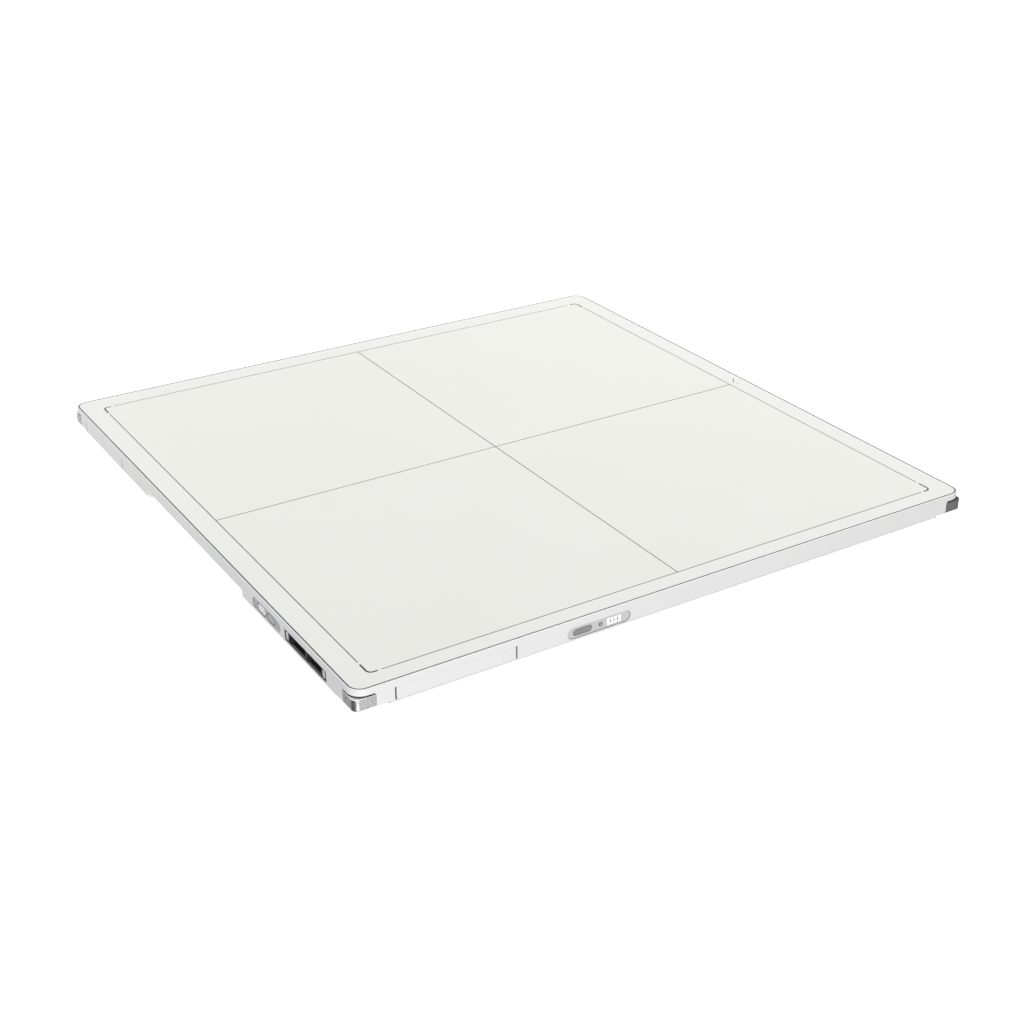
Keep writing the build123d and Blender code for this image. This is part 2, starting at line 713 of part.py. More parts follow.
def pin_places():
    for low, high in POCKETS_ALONG:
        for step in range(PINS_IN_POCKET):
            yield (low + high) / 2 + (step - (PINS_IN_POCKET - 1) / 2) * PIN_PITCH


def pin_form(along, depth):
    return in_wall("left", around(along, PIN_WIDTH), PIN_UP, depth)


def guide_post_form(along, by, depth):
    """The oval of a guide post, this much larger all round."""
    middle = sum(CONNECTOR_UP) / 2
    post_along = grown(around(along, GUIDE_POST[0]), by)
    return in_wall("left", post_along, grown(around(middle, GUIDE_POST[1]), by), depth, GUIDE_POST_R + by)


def connector_body():
    """The black moulding in the slot: a block with two pockets set back in the wall, and the collars of
    the guide posts and the pockets' divider out to its face. A tongue in each pocket carries contacts."""
    plug_along = grown(CONNECTOR_ALONG, -CONNECTOR_GAP)
    plug_up = grown(CONNECTOR_UP, -CONNECTOR_GAP)
    body = in_wall("left", plug_along, plug_up, (CONNECTOR_FACE, WALL), CONNECTOR_R)
    for along in POCKETS_ALONG:
        body -= in_wall("left", along, CONNECTOR_UP, (0, CONNECTOR_RECESS))
    rim_up = (FLOOR_TOP + CAVITY_CLEAR, CONNECTOR_UP[1] + CONNECTOR_RIM_UP)
    body += in_wall("left", grown(CONNECTOR_ALONG, BEZEL_RIM), rim_up, CONNECTOR_RIM, BEZEL_RIM_R)
    block_along = grown(CONNECTOR_ALONG, -CONNECTOR_BLOCK_IN)
    block_depth = (CONNECTOR_RIM[1], CONNECTOR_BACK)
    body += in_wall("left", block_along, CONNECTOR_BLOCK_UP, block_depth, BEZEL_RIM_R)
    for along in POCKETS_ALONG:
        body -= in_wall("left", along, POCKET_UP, (0, POCKET_BACK), POCKET_R)
        body += in_wall("left", grown(along, -TONGUE_IN), TONGUE_UP, (TONGUE_FROM, POCKET_BACK))
    for along in POSTS_ALONG:
        body -= guide_post_form(along, 0, (0, POCKET_BACK))
        body -= guide_post_form(along, GUIDE_POST_GAP[0], (0, GUIDE_POST_GAP[1]))
    return body - [pin_form(along, (POCKET_BACK, CONNECTOR_BACK + BEYOND)) for along in pin_places()]


def connector_pins():
    return group(pin_form(along, (PIN_FROM, CONNECTOR_BACK + PIN_TAIL)) for along in pin_places())


def guide_posts():
    """Oval steel posts with a soft rim, one at each end of the connector."""
    depth = (CONNECTOR_FACE - GUIDE_POST_PROUD, POCKET_BACK)
    posts = [guide_post_form(along, 0, depth) for along in POSTS_ALONG]
    return group(soft_rim("left", post, GUIDE_POST_EDGE_R) for post in posts)


# Battery, its bay and its latches


def latch_x(side, low, high):
    start = BATTERY_SIZE[0] / 2 + LATCH_START
    return span(side, start + low, start + high)


def latch_y(width):
    return around(BATTERY_AT[1], width)


def latch_slot(side):
    """The slot in the rear cover for a latch's knob and its travel."""
    low = LATCH_KNOB_FROM - LATCH_TRAVEL - LATCH_FIT
    high = LATCH_KNOB_FROM + LATCH_KNOB[0] + LATCH_FIT
    return block(latch_x(side, low, high), latch_y(LATCH_KNOB[1] + 2 * LATCH_FIT), grown(REAR_COVER, BEYOND))


def battery_latch(side):
    """A slider with a tongue towards the battery and a grooved knob through the rear cover."""
    plate_x = latch_x(side, LATCH_NECK, LATCH_NECK + LATCH_PLATE[0])
    body = block(plate_x, latch_y(LATCH_PLATE[1]), LATCH_PLATE_UP)
    body += block(latch_x(side, 0, LATCH_NECK), latch_y(LATCH_TONGUE), LATCH_PLATE_UP)
    knob_x = latch_x(side, LATCH_KNOB_FROM, LATCH_KNOB_FROM + LATCH_KNOB[0])
    knob_up = (REAR_COVER[0] + LATCH_SINK, LATCH_PLATE_UP[0])
    body += block(knob_x, latch_y(LATCH_KNOB[1]), knob_up)
    groove_width, groove_length, groove_deep = LATCH_GROOVE
    pitch = LATCH_KNOB[0] / (LATCH_GROOVES + 1)
    for step in range(LATCH_GROOVES):
        groove_x = around(knob_x[0] + (step + 1) * pitch, groove_width)
        body -= block(groove_x, latch_y(groove_length), (knob_up[0] - BEYOND, knob_up[0] + groove_deep))
    return body


def latch_retainer(side):
    """A bridge over a latch, standing on the rear cover."""
    room = LATCH_PLATE[1] + 2 * LATCH_FIT
    top = LATCH_PLATE_UP[1] + RETAINER_FIT
    bridge_x = latch_x(side, RETAINER_FROM, RETAINER_FROM + RETAINER_LENGTH)
    bridge = block(bridge_x, latch_y(room + 2 * RETAINER_LEG), (REAR_COVER[1], top + RETAINER_SKIN))
    return bridge - block(grown(bridge_x, BEYOND), latch_y(room), (0, top))


def battery_lid():
    """The outer face of the battery, with a shallow pull recess."""
    body = plate(battery_x(), battery_y(), (REAR_COVER[0], BATTERY_LID_TOP), BATTERY_R)
    pull_x = around(BATTERY_AT[0], PULL_SIZE[0])
    pull_y = around(BATTERY_AT[1] + PULL_BACK, PULL_SIZE[1])
    pull_up = (REAR_COVER[0] - BEYOND, REAR_COVER[0] + PULL_SIZE[2])
    return body - plate(pull_x, pull_y, pull_up, PULL_R)


def contact_places():
    for step in range(CONTACTS):
        yield BATTERY_AT[0] + (step - (CONTACTS - 1) / 2) * CONTACT_PITCH


def battery_case():
    """The tray over the cells: solid ends with a catch for each latch, and windows for the terminals."""
    case_up = (BATTERY_LID_TOP, BATTERY_TOP)
    case_r = BATTERY_R - BATTERY_CASE_IN
    body = plate(battery_x(-BATTERY_CASE_IN), battery_y(-BATTERY_CASE_IN), case_up, case_r)
    room_x = battery_x(-BATTERY_END)
    body -= block(room_x, battery_y(-BATTERY_CASE_IN - BATTERY_WALL), (0, BATTERY_TOP - BATTERY_ROOF))
    catch_up = (0, LATCH_PLATE_UP[1] + LATCH_FIT)
    for side in (-1, 1):
        catch_x = span(side, BATTERY_SIZE[0] / 2 - BATTERY_CATCH, BATTERY_SIZE[0] / 2)
        body -= block(catch_x, latch_y(LATCH_TONGUE + 2 * LATCH_FIT), catch_up)
    return body - list(terminals())


def terminals():
    """Contact plates let into the battery's back wall."""
    back = battery_y(-BATTERY_CASE_IN)[1]
    for x in contact_places():
        yield block(around(x, CONTACT[0]), (back - BATTERY_WALL, back), around(CONTACT_UP, CONTACT[1]))


def battery_cells():
    """Flat pouch cells side by side."""
    low, high = battery_x(-BATTERY_END - CELL_GAP)
    width = (high - low - (CELLS - 1) * CELL_GAP) / CELLS
    back = battery_y(-BATTERY_CASE_IN - BATTERY_WALL - CELL_GAP)
    up = (BATTERY_LID_TOP, BATTERY_TOP - BATTERY_ROOF - CELL_HEADROOM)
    starts = [low + n * (width + CELL_GAP) for n in range(CELLS)]
    return group(plate((start, start + width), back, up, CELL_R) for start in starts)


def battery_bay():
    """A thin tray that closes the space above the battery, with windows for the latches and contacts."""
    wall_up = (REAR_COVER[1], BAY_ROOF[1])
    outer_gap = BATTERY_GAP + BAY_WALL
    body = plate(battery_x(outer_gap), battery_y(outer_gap), wall_up, BATTERY_R + outer_gap)
    room_up = (0, BAY_ROOF[0])
    body -= plate(battery_x(BATTERY_GAP), battery_y(BATTERY_GAP), room_up, BATTERY_R + BATTERY_GAP)
    for side in (-1, 1):
        window_x = span(side, BATTERY_SIZE[0] / 2, BATTERY_SIZE[0] / 2 + BATTERY_GAP + BAY_WALL + BEYOND)
        body -= block(window_x, latch_y(LATCH_TONGUE + 2 * LATCH_FIT), (0, LATCH_PLATE_UP[1] + LATCH_FIT))
    return body - contact_block_form(0)


def contact_block_form(behind):
    """The block in the bay's back wall, this far out behind it."""
    block_x = around(BATTERY_AT[0], CONTACTS * CONTACT_PITCH)
    block_y = (battery_y(BATTERY_GAP)[1], battery_y(BATTERY_GAP + BAY_WALL)[1] + behind)
    return block(block_x, block_y, around(CONTACT_UP, CONTACT_BLOCK[1]))


def battery_contact_block():
    """The block that carries the bay's contacts."""
    return contact_block_form(CONTACT_BLOCK[0]) - list(bay_contacts(0))


def bay_contacts(proud):
    """Contact tips towards the battery's terminals, this far out of their block."""
    front = battery_y(BATTERY_GAP)[1]
    tip_y = (front - proud, front + CONTACT_TIP_DEEP)
    for x in contact_places():
        yield block(around(x, CONTACT_TIP[0]), tip_y, around(CONTACT_UP, CONTACT_TIP[1]))


# Image stack


def board_screw_places():
    places = []
    for board_x, board_y in (MAIN_BOARD, READOUT_BOARD, GATE_BOARD, POWER_BOARD, RADIO_BOARD):
        for x in grown(board_x, -BOARD_SCREW_IN):
            for y in grown(board_y, -BOARD_SCREW_IN):
                places.append((x, y))
    return places


BOARD_SCREW_PLACES = board_screw_places()


def base_plate():
    """A stiff plate on the frame's posts: ears at the screws, crossed ribs and board bosses underneath."""
    body = slab(PLATE_HALF, BOARD_R, PLATE)
    for x, y in POST_PLACES:
        out_x, out_y = outward((x, y))
        ear_x = span(out_x, PLATE_HALF - BEYOND, EAR_REACH) if out_x else around(x, EAR_WIDTH)
        ear_y = span(out_y, PLATE_HALF - BEYOND, EAR_REACH) if out_y else around(y, EAR_WIDTH)
        body += plate(ear_x, ear_y, PLATE, EAR_R)
    rib_half = FLEX_TAIL_AT - PLATE_RIB_WIDTH
    for at in (-rib_half, 0.0, rib_half):
        body += block((-rib_half, rib_half), around(at, PLATE_RIB_WIDTH), PLATE_RIB)
        body += block(around(at, PLATE_RIB_WIDTH), (-rib_half, rib_half), PLATE_RIB)
    body += [upright(x, y, (BOARD[1], PLATE[0]), BOARD_BOSS_R) for x, y in BOARD_SCREW_PLACES]
    hole_up = (BOARD[1] - BEYOND, BOARD_HOLE_TOP)
    body -= [upright(x, y, hole_up, SHANK_R + SCREW_FIT) for x, y in BOARD_SCREW_PLACES]
    through = grown(PLATE, BEYOND)
    return body - [upright(x, y, through, SHANK_R + SCREW_FIT) for x, y in POST_PLACES]


def base_plate_screws():
    return group(screws(POST_PLACES, PLATE[1] + HEAD_HIGH, PLATE[1], POST_HOLE_BOTTOM + SCREW_SHORT))


# Circuit boards


def circuit_board(limits):
    """A board with a hole for the screw at each corner."""
    board_x, board_y = limits
    body = plate(board_x, board_y, BOARD, BOARD_R)
    holes = [(x, y) for x in grown(board_x, -BOARD_SCREW_IN) for y in grown(board_y, -BOARD_SCREW_IN)]
    return body - [upright(x, y, grown(BOARD, BEYOND), SHANK_R + SCREW_FIT) for x, y in holes]


def board_screws():
    return group(screws(BOARD_SCREW_PLACES, BOARD[0] - HEAD_HIGH, BOARD[0], BOARD_HOLE_TOP - SCREW_SHORT))


def chips(rows):
    """Rows of chips on the underside of a board."""
    for (first_x, y), pitch, count, (width, depth, height) in rows:
        for n in range(count):
            chip_x = around(first_x + n * pitch, width)
            yield block(chip_x, around(y, depth), (BOARD[0] - height, BOARD[0]))


def radio_parts():
    """The soldered metal can over the radio, and the two sockets that the antenna leads push into."""
    can_up = (BOARD[0] - RADIO_SHIELD_HIGH, BOARD[0])
    can = plate(*RADIO_SHIELD, can_up, RADIO_SHIELD_R)
    socket_x = (RADIO_BOARD[0][0], RADIO_BOARD[0][0] + SOCKET_SIZE)
    socket_up = (LEAD_UP - SOCKET_DROP, BOARD[0])
    return group([can, *[block(socket_x, around(y, SOCKET_SIZE), socket_up) for y in SOCKETS_Y]])


def bowed_line(start, end, top):
    quarter = (end - start) / 4
    return FilletPolyline(
        (start, top),
        (start + quarter, top),
        (start + 2 * quarter, top - RIBBON_BOW),
        (end - quarter, top),
        (end, top),
        radius=RIBBON_BEND_R,
    )


def ribbon(start, end, width):
    """A flat cable along Y between the undersides of two boards, with a slack bow below them."""
    upper = bowed_line(start, end, BOARD[0])
    lower = bowed_line(start, end, BOARD[0] - RIBBON_THICK)
    ends = [Line(upper @ 0, lower @ 0), Line(upper @ 1, lower @ 1)]
    band = Plane.YZ * make_face([*upper.edges(), *lower.edges(), *ends])
    return extrude(band, width / 2, both=True)


def board_ribbons():
    """Cables from the main board to the readout, power and gate boards."""
    to_readout = ribbon(MAIN_BOARD[1][1] - RIBBON_HOLD, READOUT_BOARD[1][0] + RIBBON_HOLD, RIBBON_WIDE)
    to_power = ribbon(POWER_BOARD[1][1] - RIBBON_HOLD, MAIN_BOARD[1][0] + RIBBON_HOLD, RIBBON_NARROW)
    to_gate = ribbon(MAIN_BOARD[0][1] - RIBBON_HOLD, GATE_BOARD[0][0] + RIBBON_HOLD, RIBBON_WIDE)
    to_gate = Pos(0, GATE_RIBBON_Y, 0) * Rot(0, 0, -90) * to_gate
    return group([to_readout, Pos(POWER_RIBBON_X, 0, 0) * to_power, to_gate])


# Flexes


def flex_section():
    """The closed outline of a flex round the base plate's edge, in outward distance and height."""
    top = GLASS[1] + FLEX_THICK
    bottom = BOARD[1]
    centre = (top + bottom) / 2
    outer_r = (top - bottom) / 2
    inner_r = outer_r - FLEX_THICK
    bend = PLATE_HALF + FLEX_BEND_CLEAR
    bond = GLASS_HALF - FLEX_BOND
    return [
        Line((bond, top), (bend, top)),
        ThreePointArc((bend, top), (bend + outer_r, centre), (bend, bottom)),
        Line((bend, bottom), (FLEX_TAIL_AT, bottom)),
        Line((FLEX_TAIL_AT, bottom), (FLEX_TAIL_AT, bottom + FLEX_THICK)),
        Line((FLEX_TAIL_AT, bottom + FLEX_THICK), (bend, bottom + FLEX_THICK)),
        ThreePointArc((bend, bottom + FLEX_THICK), (bend + inner_r, centre), (bend, top - FLEX_THICK)),
        Line((bend, top - FLEX_THICK), (bond, top - FLEX_THICK)),
        Line((bond, top - FLEX_THICK), (bond, top)),
    ]


def flex():
    """A flex at the back wall's middle: wide where it is bonded to the glass, narrow at its tail."""
    band = Plane.YZ * make_face(flex_section())
    full = extrude(band, FLEX_WIDTH / 2, both=True)
    spare = (FLEX_WIDTH - FLEX_NECK) / 2
    for side in (-1, 1):
        tail_x = span(side, FLEX_NECK / 2, FLEX_NECK / 2 + spare + BEYOND)
        full -= block(tail_x, (FLEX_TAIL_AT - BEYOND, FLEX_NECK_TO), (BOARD[1] - BEYOND, PLATE[0]))
    return full


def flex_chip():
    width, depth, height = FLEX_CHIP
    up = (BOARD[1] + FLEX_THICK, BOARD[1] + FLEX_THICK + height)
    return block(around(0, width), around(FLEX_CHIP_AT, depth), up)


def row_places(count, pitch):
    return [(n - (count - 1) / 2) * pitch for n in range(count)]


READOUT_PLACES = row_places(READOUT_FLEXES, FLEX_PITCH)
GATE_PLACES = [place - FLEX_PITCH / 2 for place in row_places(GATE_FLEXES, 2 * FLEX_PITCH)]


def on_back(form):
    return group(Pos(place, 0, 0) * form for place in READOUT_PLACES)


def on_right(form):
    return group(Pos(0, place, 0) * Rot(0, 0, -90) * form for place in GATE_PLACES)


# Antenna leads


def antenna_lead(points):
    route = FilletPolyline(*[(x, y, LEAD_UP) for x, y in points], radius=LEAD_BEND_R)
    start = Plane(route @ 0, z_dir=route % 0)
    return sweep(start * Circle(LEAD_R), path=route)


def antenna_leads():
    """Thin round leads from the backs of the antenna boards to the radio's sockets."""
    board_back = -HALF + WINDOW_PLUG + ANTENNA_BOARD_THICK
    socket_x = RADIO_BOARD[0][0]
    front = [(FRONT_ANTENNA_X, board_back), (FRONT_ANTENNA_X, SOCKETS_Y[0]), (socket_x, SOCKETS_Y[0])]
    left = [
        (board_back, LEFT_ANTENNA_Y),
        (LEAD_ALONG_LEFT, LEFT_ANTENNA_Y),
        (LEAD_ALONG_LEFT, SOCKETS_Y[1]),
        (socket_x, SOCKETS_Y[1]),
    ]
    return group([antenna_lead(front), antenna_lead(left)])


PARTS = {
    "side_frame": side_frame(),
    "front_cover": front_cover(),
    "cover_seal": cover_seal(),
    "rear_cover": rear_cover(),
    "rear_cover_screws": rear_cover_screws(),
    **{f"corner_guard_{corner}": corner_guard(corner) for corner in CORNERS},
    "corner_guard_pads": corner_guard_pads(),
    "corner_guard_screws": corner_guard_screws(),
    "antenna_window_front": antenna_window("front"),
    "antenna_window_left": antenna_window("left"),
    "antenna_board_front": antenna_board("front"),
    "antenna_board_left": antenna_board("left"),
    "status_bezel": status_bezel(),
    "status_button": key("front", STATUS_BUTTON_ALONG, STATUS_BUTTON_UP),
    "status_light_guide": status_light_guide(),
    "status_board": side_board("front", STATUS_ALONG, STATUS_UP),
    "power_bezel": power_bezel(),
    "power_button": key("left", POWER_BUTTON_ALONG, POWER_BUTTON_UP),
    "power_lens": power_lens(),
    "power_panel_board": side_board("left", POWER_ALONG, POWER_UP),
    "button_switches": group(side_switches()),
    "panel_lamps": group(side_lamps()),
    "connector_body": connector_body(),
    "connector_pins": connector_pins(),
    "connector_guide_posts": guide_posts(),
    "battery_lid": battery_lid(),
    "battery_case": battery_case(),
    "battery_cells": battery_cells(),
    "battery_terminals": group(terminals()),
    "battery_bay": battery_bay(),
    "battery_contact_block": battery_contact_block(),
    "battery_contacts": group(bay_contacts(CONTACT_TIP_PROUD)),
    "battery_latch_left": battery_latch(-1),
    "battery_latch_right": battery_latch(1),
    "latch_retainers": group(latch_retainer(side) for side in (-1, 1)),
    "foam_sheet": slab(SCINTILLATOR_HALF, BOARD_R, FOAM),
    "scintillator": slab(SCINTILLATOR_HALF, BOARD_R, SCINTILLATOR),
    "tft_glass_panel": slab(GLASS_HALF, BOARD_R, GLASS),
    "lead_sheet": slab(GLASS_HALF, BOARD_R, LEAD_SHEET),
    "base_plate": base_plate(),
    "base_plate_screws": base_plate_screws(),
    "main_board": circuit_board(MAIN_BOARD),
    "main_board_chips": group(chips(MAIN_CHIP_ROWS)),
    "readout_board": circuit_board(READOUT_BOARD),
    "readout_board_chips": group(chips(READOUT_CHIP_ROWS)),
    "readout_flexes": on_back(flex()),
    "readout_flex_chips": on_back(flex_chip()),
    "gate_board": circuit_board(GATE_BOARD),
    "gate_flexes": on_right(flex()),
    "gate_flex_chips": on_right(flex_chip()),
    "power_board": circuit_board(POWER_BOARD),
    "power_board_parts": group(chips(POWER_PART_ROWS)),
    "radio_board": circuit_board(RADIO_BOARD),
    "radio_board_parts": radio_parts(),
    "board_ribbons": board_ribbons(),
    "board_screws": board_screws(),
    "antenna_leads": antenna_leads(),
}

os.makedirs("parts", exist_ok=True)
for name, piece in PARTS.items():
    export_step(piece, f"parts/{name}.step")
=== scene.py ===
import functools
import math

import bmesh
import bpy
from mathutils import Matrix, Vector


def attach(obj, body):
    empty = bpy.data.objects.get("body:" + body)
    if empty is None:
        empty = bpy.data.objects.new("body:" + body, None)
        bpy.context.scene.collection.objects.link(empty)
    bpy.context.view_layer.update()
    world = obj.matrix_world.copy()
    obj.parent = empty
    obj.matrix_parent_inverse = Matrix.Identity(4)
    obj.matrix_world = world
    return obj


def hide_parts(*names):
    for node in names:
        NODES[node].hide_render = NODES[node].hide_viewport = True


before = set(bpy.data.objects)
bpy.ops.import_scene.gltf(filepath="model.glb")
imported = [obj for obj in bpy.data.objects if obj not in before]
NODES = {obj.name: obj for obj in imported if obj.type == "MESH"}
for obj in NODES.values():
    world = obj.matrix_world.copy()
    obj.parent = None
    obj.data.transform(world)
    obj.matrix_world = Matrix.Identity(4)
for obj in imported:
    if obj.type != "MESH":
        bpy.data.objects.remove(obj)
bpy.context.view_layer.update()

# The looks of a flat panel x-ray detector. Sizes and places are in millimetres, which MM turns to metres.
# The depths in materials, the floor and the lights are in metres. Colours are linear.
MM = 0.001
HALF = 230.0  # from the middle to the walls' outer faces
FACE = 15.0  # the imaging face's height


# Material recipes


def add_node(tree, kind, inputs, **settings):
    """Adds a node, whose inputs are each given as a value or as the socket that drives it."""
    node = tree.nodes.new(kind)
    for key, value in settings.items():
        setattr(node, key, value)
    for key, value in inputs.items():
        if isinstance(value, bpy.types.NodeSocket):
            tree.links.new(value, node.inputs[key])
        else:
            node.inputs[key].default_value = value
    return node


class Recipe:
    """A Principled material with short calls that add the nodes that drive it."""

    def __init__(self, name, metallic=0.0, **sockets):
        self.material = bpy.data.materials.new(name)
        self.material.use_nodes = True
        self.tree = self.material.node_tree
        self.shader = self.tree.nodes["Principled BSDF"]
        self.shader.inputs["Metallic"].default_value = metallic
        for socket, value in sockets.items():
            self.shader.inputs[socket.replace("_", " ")].default_value = value
        self.place = self.add("ShaderNodeTexCoord", {}).outputs["Object"]

    def add(self, kind, inputs, **settings):
        return add_node(self.tree, kind, inputs, **settings)

    def noise(self, scale, detail, stretch=None):
        where = self.place
        if stretch:
            where = self.add("ShaderNodeMapping", {"Vector": where, "Scale": stretch}).outputs[0]
        inputs = {"Vector": where, "Scale": scale, "Detail": detail}
        return self.add("ShaderNodeTexNoise", inputs).outputs["Fac"]

    def drift(self, scale, detail=2.0):
        """A slow change from 0 to 1 and back, to blend two near colours."""
        return self.ranged(self.noise(scale, detail), 0.35, 0.65)

    def cells(self, scale):
        return self.add("ShaderNodeTexVoronoi", {"Vector": self.place, "Scale": scale}).outputs[0]

    def math(self, operation, first, second=0.0):
        return self.add("ShaderNodeMath", {0: first, 1: second}, operation=operation).outputs[0]

    def above(self, value, limit):
        return self.math("GREATER_THAN", value, limit)

    def ranged(self, value, low, high, to_low=0.0, to_high=1.0):
        inputs = {"Value": value, "From Min": low, "From Max": high, "To Min": to_low, "To Max": to_high}
        return self.add("ShaderNodeMapRange", inputs).outputs[0]

    def blend(self, factor, first, second):
        inputs = {"Factor": factor, 6: first, 7: second}
        return self.add("ShaderNodeMix", inputs, data_type="RGBA").outputs[2]

    def axes(self):
        return self.add("ShaderNodeSeparateXYZ", {0: self.place}).outputs

    def drive(self, name, socket):
        self.tree.links.new(socket, self.shader.inputs[name])

    def colour(self, socket):
        self.drive("Base Color", socket)

    def roughness(self, noise, low, high):
        self.drive("Roughness", self.ranged(noise, 0.3, 0.7, low, high))

    def relief(self, height, distance, strength=0.5):
        """Adds a bump on top of those already there."""
        before = self.shader.inputs["Normal"].links
        inputs = {"Height": height, "Distance": distance, "Strength": strength}
        if before:
            inputs["Normal"] = before[0].from_socket
        self.drive("Normal", self.add("ShaderNodeBump", inputs).outputs[0])


def rgba(red, green, blue):
    return (red, green, blue, 1.0)


def grey(value):
    return (value, value, value, 1.0)


def darker(colour, share):
    return (*[share * part for part in colour[:3]], 1.0)


def surface(name, first, second, rough, grain, depth, metallic=0.0, **sockets):
    """A finish with a slow drift between two colours, and a fine grain in its relief and roughness."""
    made = Recipe(name, metallic, **sockets)
    fine = made.noise(grain, 4.0)
    made.colour(made.blend(made.drift(grain / 60), first, second))
    made.roughness(fine, *rough)
    made.relief(fine, depth)
    return made


# Painted shade beside the seam: at the back and the right it lies on the frame's rim, above RIM_UP. At the
# front and the left it lies on the film's edge, SEAM_SHADE_FROM outside a square that reaches out
# SEAM_SHADE_SQUARE.
RIM_UP = 14.74
SEAM_SHADE_SQUARE = 221.0
SEAM_SHADE_FROM = 7.25


def frame_paint():
    """Satin paint with a fine orange peel over a cast frame, and painted shade beside the seam along its rim.
    """
    made = Recipe("frame_paint")
    fine = made.noise(900, 4.0)
    paint = made.blend(made.drift(15), grey(0.80), grey(0.79))
    x, y, z = made.axes()
    # Painted shade beside the seam: the rim above RIM_UP turns dark grey at the back and the right.
    far = made.above(made.math("ADD", x, y), 0.0)
    rim = made.math("MULTIPLY", made.above(z, RIM_UP * MM), far)
    made.colour(made.blend(rim, paint, grey(0.40)))
    made.roughness(fine, 0.36, 0.46)
    made.relief(fine, 0.00001)
    made.relief(made.noise(160, 1.0), 0.00003, 0.25)
    return made.material


PRINT_X = (-213.61, 213.37)  # the printed frame's sides
PRINT_Y = (-216.40, 210.90)


def face_film():
    """White film on the imaging face, a little warmer inside the printed frame, with painted shade beside the
    seam along its front and left edges.
    """
    made = Recipe("face_film", Specular_IOR_Level=0.3)
    x, y, _ = made.axes()
    inside = None
    for axis, limits in ((x, PRINT_X), (y, PRINT_Y)):
        middle = sum(limits) / 2 * MM
        reach = (limits[1] - limits[0]) / 2 * MM
        away = made.math("ABSOLUTE", made.math("SUBTRACT", axis, middle))
        within = made.math("LESS_THAN", away, reach)
        inside = within if inside is None else made.math("MULTIPLY", inside, within)
    drift = made.drift(9)
    border = made.blend(drift, rgba(0.815, 0.82, 0.79), rgba(0.805, 0.812, 0.78))
    field = made.blend(drift, rgba(0.805, 0.812, 0.768), rgba(0.797, 0.804, 0.758))
    # Painted shade beside the seam: the film's edge turns dark grey at the front and the left.
    outward = []
    for axis in (x, y):
        past = made.math("SUBTRACT", made.math("ABSOLUTE", axis), SEAM_SHADE_SQUARE * MM)
        outward.append(made.math("POWER", made.math("MAXIMUM", past, 0.0), 2.0))
    edge = made.above(made.math("SQRT", made.math("ADD", *outward)), SEAM_SHADE_FROM * MM)
    near = made.math("LESS_THAN", made.math("ADD", x, y), 0.0)
    film = made.blend(inside, border, field)
    made.colour(made.blend(made.math("MULTIPLY", edge, near), film, grey(0.35)))
    fine = made.noise(2600, 3.0)
    made.roughness(fine, 0.62, 0.72)
    made.relief(fine, 0.000006, 0.5)
    made.relief(made.noise(45, 1.0), 0.00004, 0.08)
    return made.material


# How the grain of brushed metal is scaled along each axis: it is drawn out where the share is small
STREAK_LEVEL = (0.05, 0.05, 1.0)
STREAK_UP = (1.0, 1.0, 0.2)
STREAK_X = (0.1, 1.0, 1.0)
STREAK_GRAIN = 3000


def brushed(name, first, second, rough, along):
    """Metal with fine streaks along one direction."""
    made = Recipe(name, 1.0)
    streaks = made.noise(STREAK_GRAIN, 4.0, along)
    made.colour(made.blend(made.math("MULTIPLY", streaks, made.drift(240, 3.0)), first, second))
    made.roughness(streaks, *rough)
    made.relief(streaks, 0.00002, 1.0)
    made.relief(made.noise(500, 2.0), 0.00001, 0.4)
    return made.material


GUARD_EDGE_UP = 9.42  # the guards' upper edge carries a painted highlight at the left and painted shade at the right above this


def guard_metal():
    """Brushed steel, mottled by handling. Its upper edge has a painted highlight at the left and painted
    shade at the right, and is rougher.
    """
    made = Recipe("guard_metal", 1.0)
    streaks = made.noise(STREAK_GRAIN, 4.0, STREAK_LEVEL)
    mottled = made.ranged(made.noise(1000, 4.0), 0.42, 0.6)
    steel = made.blend(mottled, grey(0.72), grey(0.46))
    x, _, z = made.axes()
    edge = made.above(z, GUARD_EDGE_UP * MM)
    # Painted highlight on the upper edge at the left, painted shade on it at the right.
    edge_highlight_and_shade = made.blend(made.above(x, 0.0), grey(0.97), grey(0.10))
    made.colour(made.blend(edge, steel, edge_highlight_and_shade))
    rough = made.ranged(streaks, 0.3, 0.7, 0.30, 0.40)
    made.drive("Roughness", made.math("MAXIMUM", rough, made.math("MULTIPLY", edge, 0.8)))
    made.relief(streaks, 0.00005, 1.0)
    made.relief(made.noise(500, 2.0), 0.00001, 0.4)
    return made.material


def moulded(name, first, second, rough, grain, depth):
    """Moulded plastic with a spark-eroded texture."""
    made = surface(name, first, second, rough, grain, depth)
    made.relief(made.cells(grain * 0.7), depth, 0.3)
    return made.material


def circuit(name, base, track):
    """Solder resist over copper tracks, with plated holes."""
    made = Recipe(name, Coat_Weight=0.4, Coat_Roughness=0.15)
    x, y, _ = made.axes()
    lanes = made.above(made.noise(70, 0.0), 0.52)
    along_x = made.above(made.math("PINGPONG", y, 0.0011), 0.00085)
    along_y = made.above(made.math("PINGPONG", x, 0.0013), 0.00105)
    tracks = made.math("MULTIPLY", along_x, lanes)
    tracks = made.math("MAXIMUM", tracks, made.math("MULTIPLY", along_y, made.math("SUBTRACT", 1.0, lanes)))
    vias = made.math("LESS_THAN", made.cells(190), 0.13)
    patchy = made.blend(made.drift(25), base, darker(base, 0.85))
    coloured = made.blend(tracks, patchy, track)
    made.colour(made.blend(vias, coloured, rgba(0.62, 0.45, 0.16)))
    made.roughness(made.noise(900, 2.0), 0.3, 0.45)
    made.relief(made.math("MAXIMUM", tracks, vias), 0.00003, 0.6)
    return made.material


